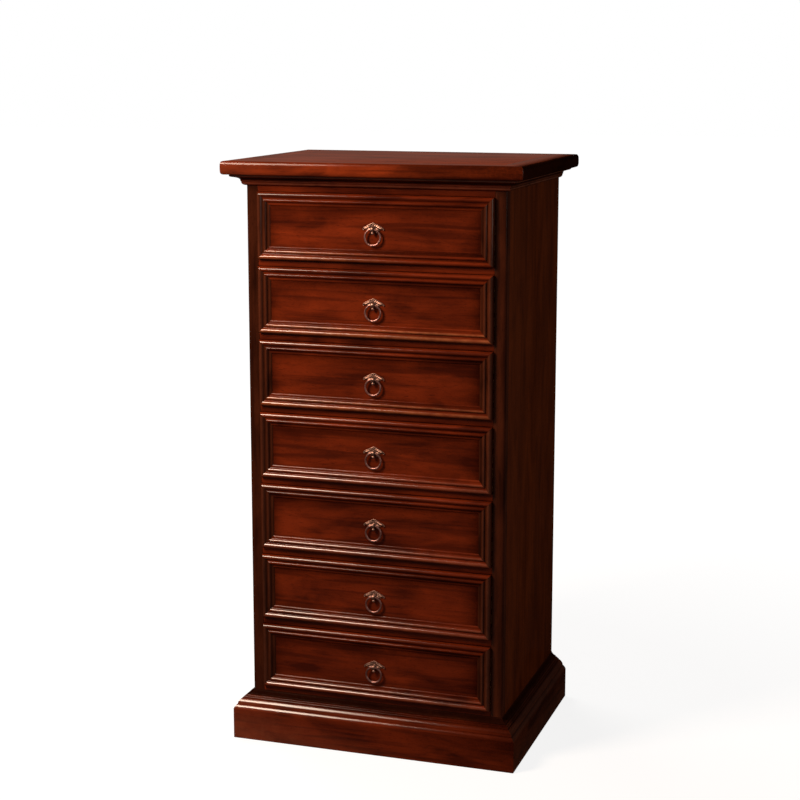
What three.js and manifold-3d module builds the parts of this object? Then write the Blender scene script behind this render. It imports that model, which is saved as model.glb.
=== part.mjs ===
// A semainier: a tall narrow chest with seven drawers, in millimetres, +Z up, front towards -Y.
// Carcass on a moulded base board and a plinth, top board over a bed moulding,
// seven moulded drawer fronts dovetailed to their boxes, and a ring pull on each.
// The origin is on the floor, under the middle of the top board.

import * as THREE from 'three';
import { mergeVertices } from 'three/addons/utils/BufferGeometryUtils.js';
import Module from 'manifold-3d';

const wasm = await Module();
wasm.setup();

// Fits
const GLUE_GAP = 0.2;
const OVERRUN = 5;

// Carcass
const CARCASS_WIDTH = 560;
const CARCASS_DEPTH = 440;
const SIDE_THICKNESS = 20;
const STILE_WIDTH = 25;
const STILE_DEPTH = 22;
const STILE_CORNER_RADIUS = 5;
const BACK_THICKNESS = 6;
const BACK_REBATE_DEPTH = 10;
const BACK_REBATE_WIDTH = 10;

// Top board and the bed moulding under it
const TOP_THICKNESS = 28;
const TOP_OVERHANG = 42;
const TOP_BACK_OVERHANG = 8;
const TOP_NOSE_RADIUS = 7;
const BED_HEIGHT = 23;
const BED_PROJECTION = 27;
// Section of the bed moulding from its lower tip to its upper lip: shares of projection and height
const BED_SECTION_SHARES = [
  [0.05, 0.0],
  [0.18, 0.12],
  [0.29, 0.28],
  [0.34, 0.48],
  [0.42, 0.56],
  [0.62, 0.66],
  [0.9, 0.8],
  [1.0, 0.84],
  [1.0, 1.0],
];

// Base board, the cove on it and the plinth under it
const BASE_BOARD_THICKNESS = 19;
const BASE_BOARD_LIP = 25.5;
// Moulded edge of the base board, from the bottom up: shares of lip and thickness
const BASE_EDGE_SHARES = [
  [1.0, 0.0],
  [1.0, 0.06],
  [0.97, 0.18],
  [0.9, 0.29],
  [0.77, 0.37],
  [0.73, 0.42],
  [0.69, 0.55],
  [0.62, 0.71],
  [0.59, 0.77],
  [0.52, 0.88],
  [0.43, 0.96],
  [0.41, 1.0],
];
const COVE_HEIGHT = 11;
const COVE_PROJECTION = 10;
// Section of the cove, from its lower edge up: shares of projection and height
const COVE_SECTION_SHARES = [
  [1.0, 0.0],
  [0.96, 0.16],
  [0.82, 0.3],
  [0.54, 0.46],
  [0.3, 0.66],
  [0.12, 0.86],
  [0.05, 1.0],
];
const PLINTH_HEIGHT = 75;
const PLINTH_THICKNESS = 20;
const PLINTH_PROJECTION = 34;
const PLINTH_EDGE_RADIUS = 8;
const PLINTH_BACK_INSET = 3;

// Rails, dust frames and drawer guides
const TOP_RAIL_HEIGHT = 35;
const BOTTOM_RAIL_HEIGHT = 21.5;
const RAIL_HEIGHT = 13.5;
const FRONT_RAIL_DEPTH = 60;
const BACK_RAIL_DEPTH = 40;
const RUNNER_WIDTH = 42;
const FRAME_BACK_SETBACK = 14;
const HOUSING_DEPTH = 5;
const DUST_PANEL_THICKNESS = 4;
const GUIDE_HEIGHT = 14;
const GUIDE_FRONT_SETBACK = 14;

// Drawers
const DRAWER_COUNT = 7;
const FRONT_HEIGHT = 140;
const FRONT_CLEARANCE = 0.75;
const FRONT_PROUD = 11;
const FRONT_INSET = 11;
const PANEL_PROUD = 2.5;
const SIDE_CLEARANCE = 0.8;
const RUNNING_CLEARANCE = 0.4;
const BOX_SIDE_THICKNESS = 12;
const BOX_SIDE_HEIGHT = 120;
const BOX_BACK_THICKNESS = 12;
const BOX_BACK_DROP = 8;
const BOX_BACK_SETBACK = 30;
const BOTTOM_THICKNESS = 5;
const BOTTOM_RISE = 10;
const BOTTOM_GROOVE_DEPTH = 6;
const GROOVE_CLEARANCE = 0.3;
const SHOULDER_GAP = 0.3;
const TAIL_COUNT = 4;
const TAIL_LENGTH = 9.7;
const TAIL_ROOT_SHARE = 0.44;
const TAIL_TIP_SHARE = 0.66;
const TAIL_CLEARANCE = 0.3;

// Moulded frame of a drawer front, from its outer edge inwards
const OUTER_BEAD_WIDTH = 11;
const OUTER_BEAD_RISE = 5.5;
const QUIRK_WIDTH = 2;
const INNER_BEAD_WIDTH = 6;
const INNER_BEAD_RISE = 3;
const SLOPE_WIDTH = 6;
const SLOPE_FALL = 2.7;
const FILLET_WIDTH = 3;
const FILLET_RISE = 1.2;
const FILLET_EDGE_SHARE = 0.25;

// Ring pulls
const RING_RADIUS = 17;
const RING_WIRE_RADIUS = 2.3;
const PLATE_THICKNESS = 2;
const PLATE_HALF_WIDTH = 24.5;
const PLATE_RISE = 13;
const PLATE_DROP = 8;
const PLATE_BEVEL = 0.5;
const LUG_WIDTH = 7;
const LUG_WALL = 2;
const EYE_CLEARANCE = 0.7;
const RING_STANDOFF = 4.4;
const POST_RADIUS = 2.2;
const POST_HOLE_RADIUS = 2.6;
const POST_END = 3;
// Right half of the leaf plate, from its peak to its foot: shares of half width, and of rise or drop
const LEAF_SHARES = [
  [0.0, 1.0],
  [0.09, 0.82],
  [0.19, 0.86],
  [0.28, 0.64],
  [0.4, 0.68],
  [0.5, 0.46],
  [0.64, 0.49],
  [0.74, 0.3],
  [1.0, 0.2],
  [0.88, 0.0],
  [0.7, 0.04],
  [0.58, -0.2],
  [0.42, -0.12],
  [0.32, -0.5],
  [0.2, -0.78],
  [0.0, -1.0],
];

// Steps of the rounded sections
const ARC_STEPS = 4;
const BEAD_STEPS = 6;
const INNER_BEAD_STEPS = 4;
const POST_SIDES = 12;
const EYE_SIDES = 16;
const RING_STEPS = 24;
const WIRE_SIDES = 8;

// Heights and half widths that follow
const HALF_CARCASS = CARCASS_WIDTH / 2;
const HALF_INSIDE = HALF_CARCASS - SIDE_THICKNESS;
const HALF_OPENING = HALF_CARCASS - STILE_WIDTH;
const BASE_TOP_Z = PLINTH_HEIGHT + BASE_BOARD_THICKNESS;
const OPENING_HEIGHT = FRONT_HEIGHT + 2 * FRONT_CLEARANCE;
const DRAWER_PITCH = OPENING_HEIGHT + RAIL_HEIGHT;
const FIRST_OPENING_Z = BASE_TOP_Z + BOTTOM_RAIL_HEIGHT;
const LAST_OPENING_TOP_Z = FIRST_OPENING_Z + DRAWER_COUNT * DRAWER_PITCH - RAIL_HEIGHT;
const CARCASS_TOP_Z = LAST_OPENING_TOP_Z + TOP_RAIL_HEIGHT;
const FRAME_BACK_Y = CARCASS_DEPTH - FRAME_BACK_SETBACK;
const PULL_HEIGHT = FRONT_CLEARANCE + FRONT_HEIGHT / 2;
const HALF_FRONT = HALF_OPENING - FRONT_CLEARANCE;
const HALF_BOX = HALF_OPENING - SIDE_CLEARANCE;
const BOX_BACK_Y = CARCASS_DEPTH - BOX_BACK_SETBACK;
const GROOVE_LOW = RUNNING_CLEARANCE + BOTTOM_RISE;
const GROOVE_HIGH = GROOVE_LOW + BOTTOM_THICKNESS + GROOVE_CLEARANCE;
const PLATE_BACK = PANEL_PROUD + GLUE_GAP;
const RING_AXIS_PROUD = PLATE_BACK + PLATE_THICKNESS + RING_STANDOFF;
const EYE_RADIUS = RING_WIRE_RADIUS + EYE_CLEARANCE;
const LUG_RADIUS = EYE_RADIUS + LUG_WALL;
const ORIGIN_SHIFT_Y = -(CARCASS_DEPTH + TOP_BACK_OVERHANG - TOP_OVERHANG) / 2;

// Finishes
const POLISHED_WOOD = { color: 0x4a160b, roughness: 0.28, metalness: 0 };
const DRAWER_WOOD = { color: 0xb98a58, roughness: 0.6, metalness: 0 };
const SHEET_WOOD = { color: 0xa9794c, roughness: 0.65, metalness: 0 };
const AGED_BRASS = { color: 0x9a7438, roughness: 0.36, metalness: 1 };

// Turns a closed geometry into a solid that can be cut and joined.
function toSolid(geometry) {
  const bare = geometry.index ? geometry.toNonIndexed() : geometry.clone();
  bare.deleteAttribute('normal');
  bare.deleteAttribute('uv');
  const merged = mergeVertices(bare);
  const mesh = new wasm.Mesh({
    numProp: 3,
    vertProperties: new Float32Array(merged.attributes.position.array),
    triVerts: new Uint32Array(merged.index.array),
  });
  return new wasm.Manifold(mesh);
}

// Turns a solid back into a geometry.
function toGeometry(solid) {
  const mesh = solid.getMesh();
  const geometry = new THREE.BufferGeometry();
  geometry.setAttribute('position', new THREE.BufferAttribute(new Float32Array(mesh.vertProperties), 3));
  geometry.setIndex(new THREE.BufferAttribute(new Uint32Array(mesh.triVerts), 1));
  geometry.computeVertexNormals();
  return geometry;
}

// Joins the added geometries to the first one and takes the removed ones out of it.
function carve(base, added, removed) {
  let solid = toSolid(base);
  for (const piece of added) {
    solid = solid.add(toSolid(piece));
  }
  for (const piece of removed) {
    solid = solid.subtract(toSolid(piece));
  }
  return toGeometry(solid);
}

// A block between two corners.
function block([x0, y0, z0], [x1, y1, z1]) {
  const geometry = new THREE.BoxGeometry(x1 - x0, y1 - y0, z1 - z0);
  geometry.translate((x0 + x1) / 2, (y0 + y1) / 2, (z0 + z1) / 2);
  return geometry;
}

// A flat outline in plan, carried straight up from one height to another.
function upright(outline, z0, z1) {
  const shape = new THREE.Shape(outline.map(([x, y]) => new THREE.Vector2(x, y)));
  const geometry = new THREE.ExtrudeGeometry(shape, { depth: z1 - z0, bevelEnabled: false });
  geometry.translate(0, 0, z0);
  return geometry;
}

// A skin over rings of equal count, closed at both ends along the section given for the ends.
function loft(rings, section) {
  const count = rings[0].length;
  const flat = section.map(([u, v]) => new THREE.Vector2(u, v));
  const ends = THREE.ShapeUtils.triangulateShape(flat, []);
  const positions = rings.flat(2);
  const faces = [];
  for (let ring = 0; ring + 1 < rings.length; ring += 1) {
    for (let side = 0; side < count; side += 1) {
      const here = ring * count + side;
      const beside = ring * count + ((side + 1) % count);
      faces.push(here, beside, beside + count);
      faces.push(here, beside + count, here + count);
    }
  }
  const last = (rings.length - 1) * count;
  for (const [a, b, c] of ends.map((face) => [...face].sort((p, q) => p - q))) {
    faces.push(a, c, b);
    faces.push(last + a, last + b, last + c);
  }
  const geometry = new THREE.BufferGeometry();
  geometry.setAttribute('position', new THREE.BufferAttribute(new Float32Array(positions), 3));
  geometry.setIndex(signedVolume(positions, faces) < 0 ? faces.reverse() : faces);
  geometry.computeVertexNormals();
  return geometry;
}

// Six times the volume inside a list of triangles, negative where they face inwards.
function signedVolume(positions, faces) {
  const corner = (index) => new THREE.Vector3().fromArray(positions, 3 * index);
  let total = 0;
  for (let face = 0; face < faces.length; face += 3) {
    const [a, b, c] = [0, 1, 2].map((step) => corner(faces[face + step]));
    total += a.dot(b.cross(c));
  }
  return total;
}

// Points on a quarter round from the first direction to the second, both ends included.
function quarter(centre, radius, startAngle, endAngle) {
  const points = [];
  for (let step = 0; step <= ARC_STEPS; step += 1) {
    const angle = startAngle + ((endAngle - startAngle) * step) / ARC_STEPS;
    points.push([centre[0] + radius * Math.cos(angle), centre[1] + radius * Math.sin(angle)]);
  }
  return points;
}

// A board that is flush at the back, with an edge profile of [projection, height] on its other sides.
function edgedBoard(halfWidth, backY, edge) {
  const rings = edge.map(([projection, z]) => [
    [-halfWidth - projection, -projection, z],
    [halfWidth + projection, -projection, z],
    [halfWidth + projection, backY, z],
    [-halfWidth - projection, backY, z],
  ]);
  return loft(rings, rings[0].map(([x, y]) => [x, y]));
}

// A moulding along the front of the carcass, mitred at both ends; its section is [projection, height].
function frontMoulding(section) {
  const end = (side) => section.map(([out, z]) => [side * (HALF_CARCASS + out - GLUE_GAP), -out, z]);
  return loft([end(-1), end(1)], section);
}

// A moulding along one side of the carcass, mitred at the front and square at the back.
function sideMoulding(section, side, backY) {
  const x = (out) => side * (HALF_CARCASS + out);
  const front = section.map(([out, z]) => [x(out), GLUE_GAP - out, z]);
  const back = section.map(([out, z]) => [x(out), backY, z]);
  return loft([front, back], section);
}

// Closes a moulding's face, listed from the bottom up, against the carcass behind it.
function backed(face) {
  const bottom = face[0][1];
  const top = face[face.length - 1][1];
  return [...face, [GLUE_GAP, top], [GLUE_GAP, bottom]];
}

const chest = new THREE.Group();
chest.name = 'semainier';
chest.position.y = ORIGIN_SHIFT_Y;

// Adds a named mesh to a parent.
function addPart(parent, name, geometry, finish) {
  const mesh = new THREE.Mesh(geometry, new THREE.MeshStandardMaterial(finish));
  mesh.name = name;
  parent.add(mesh);
  return mesh;
}

// Top board: rounded nose on the front and sides, square at the back.
function topBoard() {
  const bottom = CARCASS_TOP_Z;
  const top = bottom + TOP_THICKNESS;
  const inner = TOP_OVERHANG - TOP_NOSE_RADIUS;
  const edge = [
    ...quarter([inner, bottom + TOP_NOSE_RADIUS], TOP_NOSE_RADIUS, -Math.PI / 2, 0),
    ...quarter([inner, top - TOP_NOSE_RADIUS], TOP_NOSE_RADIUS, 0, Math.PI / 2),
  ];
  return edgedBoard(HALF_CARCASS, CARCASS_DEPTH + TOP_BACK_OVERHANG, edge);
}

// Bed moulding under the top board.
function bedSection() {
  const bottom = CARCASS_TOP_Z - BED_HEIGHT;
  const height = BED_HEIGHT - GLUE_GAP;
  const face = BED_SECTION_SHARES.map(([out, rise]) => [out * BED_PROJECTION, bottom + rise * height]);
  return backed(face);
}

// Base board under the carcass, with the moulded edge that stands on the plinth.
function baseBoard() {
  const height = BASE_BOARD_THICKNESS - 2 * GLUE_GAP;
  const bottom = PLINTH_HEIGHT + GLUE_GAP;
  const edge = BASE_EDGE_SHARES.map(([out, rise]) => [out * BASE_BOARD_LIP, bottom + rise * height]);
  return edgedBoard(HALF_CARCASS, CARCASS_DEPTH, edge);
}

// Cove in the corner between the carcass and the base board.
function coveSection() {
  const height = (rise) => BASE_TOP_Z + rise * COVE_HEIGHT;
  return backed(COVE_SECTION_SHARES.map(([out, rise]) => [out * COVE_PROJECTION, height(rise)]));
}

// Plinth board: upright, with its upper outer edge rounded over.
function plinthSection() {
  const inner = PLINTH_PROJECTION - PLINTH_THICKNESS;
  const centre = [PLINTH_PROJECTION - PLINTH_EDGE_RADIUS, PLINTH_HEIGHT - PLINTH_EDGE_RADIUS];
  const edge = quarter(centre, PLINTH_EDGE_RADIUS, 0, Math.PI / 2);
  return [[inner, 0], [PLINTH_PROJECTION, 0], ...edge, [inner, PLINTH_HEIGHT]];
}

// Plinth board across the back, between the two side boards.
function plinthBack() {
  const half = HALF_CARCASS + PLINTH_PROJECTION - PLINTH_THICKNESS - GLUE_GAP;
  const rear = CARCASS_DEPTH - PLINTH_BACK_INSET;
  return block([-half, rear - PLINTH_THICKNESS, 0], [half, rear, PLINTH_HEIGHT]);
}

// Front stile of one side, with its outer corner rounded.
function stile(side) {
  const centre = [HALF_CARCASS - STILE_CORNER_RADIUS, STILE_CORNER_RADIUS];
  const corner = quarter(centre, STILE_CORNER_RADIUS, -Math.PI / 2, 0);
  const outline = [
    [HALF_OPENING, 0],
    ...corner,
    [HALF_CARCASS, STILE_DEPTH],
    [HALF_OPENING, STILE_DEPTH],
  ].map(([x, y]) => [side * x, y]);
  return upright(outline, BASE_TOP_Z, CARCASS_TOP_Z - GLUE_GAP);
}

// Side of the carcass: rebated for the back, housed for the dust frames, with a guide beside each drawer.
function carcassSide(side) {
  const front = STILE_DEPTH + GLUE_GAP;
  const rebateY = CARCASS_DEPTH - BACK_REBATE_DEPTH;
  const outline = [
    [HALF_INSIDE, front],
    [HALF_CARCASS, front],
    [HALF_CARCASS, CARCASS_DEPTH],
    [HALF_INSIDE + BACK_REBATE_WIDTH, CARCASS_DEPTH],
    [HALF_INSIDE + BACK_REBATE_WIDTH, rebateY],
    [HALF_INSIDE, rebateY],
  ].map(([x, y]) => [side * x, y]);
  const board = upright(outline, BASE_TOP_Z, CARCASS_TOP_Z - GLUE_GAP);
  const guides = [];
  const housings = [];
  const guideX = [side * (HALF_OPENING + GLUE_GAP), side * (HALF_INSIDE + HOUSING_DEPTH)];
  const housingX = [side * (HALF_INSIDE - OVERRUN), side * (HALF_INSIDE + HOUSING_DEPTH)];
  for (let index = 0; index < DRAWER_COUNT; index += 1) {
    const z = FIRST_OPENING_Z + index * DRAWER_PITCH;
    const guideLow = [Math.min(...guideX), front + GUIDE_FRONT_SETBACK, z + GLUE_GAP];
    guides.push(block(guideLow, [Math.max(...guideX), BOX_BACK_Y, z + GUIDE_HEIGHT]));
    if (index > 0) {
      const housingLow = [Math.min(...housingX), front - OVERRUN, z - RAIL_HEIGHT - GLUE_GAP];
      housings.push(block(housingLow, [Math.max(...housingX), FRAME_BACK_Y + GLUE_GAP, z + GLUE_GAP]));
    }
  }
  return carve(board, guides, housings);
}

// Back panel in the rebates of the two sides.
function backPanel() {
  const half = HALF_INSIDE + BACK_REBATE_WIDTH - GLUE_GAP;
  const front = CARCASS_DEPTH - BACK_REBATE_DEPTH + GLUE_GAP;
  return block([-half, front, BASE_TOP_Z], [half, front + BACK_THICKNESS, CARCASS_TOP_Z - GLUE_GAP]);
}

// Frame over or under a drawer: rail between the stiles, two runners, back rail and a thin dust panel.
function dividerFrame(z0, z1, halfBehind, panelZ) {
  const halfRail = HALF_OPENING - GLUE_GAP;
  const behindY = STILE_DEPTH + 2 * GLUE_GAP;
  const half = [
    [halfRail, 0],
    [halfRail, behindY],
    [halfBehind, behindY],
    [halfBehind, FRAME_BACK_Y],
  ];
  const outline = [...half, ...half.map(([x, y]) => [-x, y]).reverse()];
  const recess = HALF_INSIDE - RUNNER_WIDTH;
  const recessBack = FRAME_BACK_Y - BACK_RAIL_DEPTH;
  const hollow = (low, high) => block([-recess, FRONT_RAIL_DEPTH, low], [recess, recessBack, high]);
  const hollows = [];
  if (panelZ > z0) {
    hollows.push(hollow(z0 - OVERRUN, panelZ));
  }
  if (panelZ + DUST_PANEL_THICKNESS < z1) {
    hollows.push(hollow(panelZ + DUST_PANEL_THICKNESS, z1 + OVERRUN));
  }
  return carve(upright(outline, z0, z1), [], hollows);
}

// Front of a drawer, from its back face to the panel, as nested rectangles of the moulded frame.
function drawerFront() {
  const bead = (start, width, foot, rise, steps) => {
    const points = [];
    for (let step = 0; step <= steps; step += 1) {
      const angle = (Math.PI * step) / steps;
      const along = start + (width / 2) * (1 - Math.cos(angle));
      points.push([along, foot + rise * Math.sin(angle)]);
    }
    return points;
  };
  const foot = FRONT_PROUD - OUTER_BEAD_RISE;
  const innerStart = OUTER_BEAD_WIDTH + QUIRK_WIDTH;
  const slopeStart = innerStart + INNER_BEAD_WIDTH;
  const filletStart = slopeStart + SLOPE_WIDTH;
  const filletFoot = foot - SLOPE_FALL;
  const filletEdge = FILLET_WIDTH * FILLET_EDGE_SHARE;
  const frameWidth = filletStart + FILLET_WIDTH;
  const profile = [
    [0, -FRONT_INSET],
    ...bead(0, OUTER_BEAD_WIDTH, foot, OUTER_BEAD_RISE, BEAD_STEPS),
    ...bead(innerStart, INNER_BEAD_WIDTH, foot, INNER_BEAD_RISE, INNER_BEAD_STEPS),
    [filletStart, filletFoot],
    [filletStart + filletEdge, filletFoot + FILLET_RISE],
    [frameWidth - filletEdge, filletFoot + FILLET_RISE],
    [frameWidth, PANEL_PROUD],
  ];
  const rings = profile.map(([inset, out]) => {
    const half = HALF_FRONT - inset;
    const low = FRONT_CLEARANCE + inset;
    const high = FRONT_CLEARANCE + FRONT_HEIGHT - inset;
    return [[-half, -out, low], [half, -out, low], [half, -out, high], [-half, -out, high]];
  });
  const slab = loft(rings, rings[0].map(([x, , z]) => [x, z]));
  const sockets = [-1, 1].flatMap((side) => tails(side, TAIL_CLEARANCE));
  const grooveHalf = HALF_BOX - BOX_SIDE_THICKNESS + BOTTOM_GROOVE_DEPTH;
  const groove = block(
    [-grooveHalf, FRONT_INSET - BOTTOM_GROOVE_DEPTH, GROOVE_LOW],
    [grooveHalf, FRONT_INSET + OVERRUN, GROOVE_HIGH],
  );
  const hole = rod(POST_HOLE_RADIUS, -FRONT_PROUD - OVERRUN, FRONT_INSET + OVERRUN);
  hole.translate(0, 0, PULL_HEIGHT);
  return carve(slab, [], [...sockets, groove, hole]);
}

// The dovetails at the front end of one box side, each grown by a clearance for the sockets.
function tails(side, grow) {
  const pitch = BOX_SIDE_HEIGHT / TAIL_COUNT;
  const rootY = FRONT_INSET + OVERRUN;
  const tipY = FRONT_INSET - TAIL_LENGTH - grow;
  const flare = (TAIL_TIP_SHARE - TAIL_ROOT_SHARE) / TAIL_LENGTH;
  const halfAt = (y) => (pitch * (TAIL_ROOT_SHARE + flare * (FRONT_INSET - y))) / 2 + grow;
  const thickness = BOX_SIDE_THICKNESS + grow;
  const outer = HALF_BOX + (grow > 0 ? OVERRUN : 0);
  const solids = [];
  for (let index = 0; index < TAIL_COUNT; index += 1) {
    const middle = RUNNING_CLEARANCE + (index + 1 / 2) * pitch;
    const outline = [
      [tipY, middle - halfAt(tipY)],
      [rootY, middle - halfAt(rootY)],
      [rootY, middle + halfAt(rootY)],
      [tipY, middle + halfAt(tipY)],
    ];
    const ring = (x) => outline.map(([y, z]) => [side * x, y, z]);
    solids.push(loft([ring(HALF_BOX - thickness), ring(outer)], outline));
  }
  return solids;
}

// A round rod along Y.
function rod(radius, y0, y1) {
  const geometry = new THREE.CylinderGeometry(radius, radius, y1 - y0, POST_SIDES);
  geometry.translate(0, (y0 + y1) / 2, 0);
  return geometry;
}

// Sides and back of a drawer, glued up as one box that is open below for the bottom.
function drawerBox() {
  const low = RUNNING_CLEARANCE;
  const high = low + BOX_SIDE_HEIGHT;
  const inner = HALF_BOX - BOX_SIDE_THICKNESS;
  const start = FRONT_INSET + SHOULDER_GAP;
  const left = block([-HALF_BOX, start, low], [-inner, BOX_BACK_Y, high]);
  const right = block([inner, start, low], [HALF_BOX, BOX_BACK_Y, high]);
  const backHalf = inner + BOX_SIDE_THICKNESS / 2;
  const backLow = [-backHalf, BOX_BACK_Y - BOX_BACK_THICKNESS, GROOVE_HIGH];
  const back = block(backLow, [backHalf, BOX_BACK_Y, high - BOX_BACK_DROP]);
  const joined = [right, back, ...tails(-1, 0), ...tails(1, 0)];
  const grooveHalf = inner + BOTTOM_GROOVE_DEPTH;
  const groove = block(
    [-grooveHalf, FRONT_INSET - TAIL_LENGTH - OVERRUN, GROOVE_LOW],
    [grooveHalf, BOX_BACK_Y + OVERRUN, GROOVE_HIGH],
  );
  return carve(left, joined, [groove]);
}

// Bottom of a drawer, held in the grooves of the front and sides and running out under the back.
function drawerBottom() {
  const half = HALF_BOX - BOX_SIDE_THICKNESS + BOTTOM_GROOVE_DEPTH - GROOVE_CLEARANCE;
  const low = GROOVE_LOW + GROOVE_CLEARANCE / 2;
  const front = FRONT_INSET - BOTTOM_GROOVE_DEPTH + GROOVE_CLEARANCE;
  return block([-half, front, low], [half, BOX_BACK_Y, low + BOTTOM_THICKNESS]);
}

// Leaf plate of a pull with its post behind and the lug that the ring hangs in, round the pull's middle.
function pullPlate() {
  const height = (share) => share * (share > 0 ? PLATE_RISE : PLATE_DROP);
  const right = LEAF_SHARES.map(([across, up]) => [across * PLATE_HALF_WIDTH, height(up)]);
  const left = right.slice(1, -1).map(([x, z]) => [-x, z]).reverse();
  const leaf = new THREE.Shape([...right, ...left].map(([x, z]) => new THREE.Vector2(x, z)));
  const plate = new THREE.ExtrudeGeometry(leaf, {
    depth: PLATE_THICKNESS - 2 * PLATE_BEVEL,
    bevelThickness: PLATE_BEVEL,
    bevelSize: PLATE_BEVEL,
    bevelOffset: -PLATE_BEVEL,
    bevelSegments: 1,
  });
  plate.rotateX(Math.PI / 2);
  plate.translate(0, -PLATE_BACK - PLATE_BEVEL, 0);
  const post = rod(POST_RADIUS, -PLATE_BACK - PLATE_THICKNESS / 2, FRONT_INSET + POST_END);
  return carve(plate, [post, pullLug()], [pullEye()]);
}

// Lug across the plate's middle: a D-shaped block, round where the ring hangs in it.
function pullLug() {
  const root = PLATE_BACK + PLATE_THICKNESS / 2;
  const round = [
    ...quarter([RING_AXIS_PROUD, 0], LUG_RADIUS, -Math.PI / 2, 0),
    ...quarter([RING_AXIS_PROUD, 0], LUG_RADIUS, 0, Math.PI / 2).slice(1),
  ];
  const section = [[root, -LUG_RADIUS], ...round, [root, LUG_RADIUS]];
  const end = (x) => section.map(([out, z]) => [x, -out, z]);
  return loft([end(-LUG_WIDTH / 2), end(LUG_WIDTH / 2)], section);
}

// Eye through the lug, wide enough for the ring's curve to pass.
function pullEye() {
  const width = LUG_WIDTH + 2 * OVERRUN;
  const eye = new THREE.CylinderGeometry(EYE_RADIUS, EYE_RADIUS, width, EYE_SIDES);
  eye.rotateZ(Math.PI / 2);
  eye.translate(0, -RING_AXIS_PROUD, 0);
  return eye;
}

// Ring of a pull, hanging from its axis.
function pullRing() {
  const geometry = new THREE.TorusGeometry(RING_RADIUS, RING_WIRE_RADIUS, WIRE_SIDES, RING_STEPS);
  geometry.rotateX(Math.PI / 2);
  geometry.translate(0, 0, -RING_RADIUS);
  return geometry;
}

const chestParts = [
  ['top_board', topBoard()],
  ['top_moulding_front', frontMoulding(bedSection())],
  ['top_moulding_left', sideMoulding(bedSection(), -1, CARCASS_DEPTH)],
  ['top_moulding_right', sideMoulding(bedSection(), 1, CARCASS_DEPTH)],
  ['left_side', carcassSide(-1)],
  ['right_side', carcassSide(1)],
  ['left_stile', stile(-1)],
  ['right_stile', stile(1)],
  ['base_board', baseBoard()],
  ['base_cove_front', frontMoulding(coveSection())],
  ['base_cove_left', sideMoulding(coveSection(), -1, CARCASS_DEPTH)],
  ['base_cove_right', sideMoulding(coveSection(), 1, CARCASS_DEPTH)],
  ['plinth_front', frontMoulding(plinthSection())],
  ['plinth_left', sideMoulding(plinthSection(), -1, CARCASS_DEPTH)],
  ['plinth_right', sideMoulding(plinthSection(), 1, CARCASS_DEPTH)],
  ['plinth_back', plinthBack()],
];
for (const [name, geometry] of chestParts) {
  addPart(chest, name, geometry, POLISHED_WOOD);
}
addPart(chest, 'back_panel', backPanel(), SHEET_WOOD);

// Frames under, between and over the drawers; the outer two have their panels against the boards.
const housedHalf = HALF_INSIDE + HOUSING_DEPTH - GLUE_GAP;
const insideHalf = HALF_INSIDE - GLUE_GAP;
const bottomFrame = dividerFrame(BASE_TOP_Z, FIRST_OPENING_Z, insideHalf, BASE_TOP_Z);
addPart(chest, 'bottom_frame', bottomFrame, POLISHED_WOOD);
const underTopZ = CARCASS_TOP_Z - GLUE_GAP;
const topFrame = dividerFrame(LAST_OPENING_TOP_Z, underTopZ, insideHalf, underTopZ - DUST_PANEL_THICKNESS);
addPart(chest, 'top_frame', topFrame, POLISHED_WOOD);
for (let index = 1; index < DRAWER_COUNT; index += 1) {
  const top = LAST_OPENING_TOP_Z + RAIL_HEIGHT - index * DRAWER_PITCH;
  const panelZ = top - (RAIL_HEIGHT + DUST_PANEL_THICKNESS) / 2;
  const frame = dividerFrame(top - RAIL_HEIGHT, top, housedHalf, panelZ);
  addPart(chest, `dust_frame_${index}`, frame, POLISHED_WOOD);
}

// Drawers, counted from the top.
const front = drawerFront();
const box = drawerBox();
const bottom = drawerBottom();
const plate = pullPlate();
const ring = pullRing();
for (let index = 1; index <= DRAWER_COUNT; index += 1) {
  const drawer = new THREE.Group();
  drawer.position.z = LAST_OPENING_TOP_Z + RAIL_HEIGHT - index * DRAWER_PITCH;
  chest.add(drawer);
  addPart(drawer, `drawer_${index}_front`, front, POLISHED_WOOD);
  addPart(drawer, `drawer_${index}_box`, box, DRAWER_WOOD);
  addPart(drawer, `drawer_${index}_bottom`, bottom, SHEET_WOOD);
  const pull = addPart(drawer, `drawer_${index}_pull_plate`, plate, AGED_BRASS);
  pull.position.z = PULL_HEIGHT;
  const hung = addPart(drawer, `drawer_${index}_pull_ring`, ring, AGED_BRASS);
  hung.position.set(0, -RING_AXIS_PROUD, PULL_HEIGHT);
}

export default chest;
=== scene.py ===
"""A semainier, a tall chest of seven drawers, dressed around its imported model.

Everything is in metres, +Z up, with the drawer fronts towards -Y.
"""

import logging
import math
from dataclasses import dataclass, replace
from enum import Enum

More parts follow.
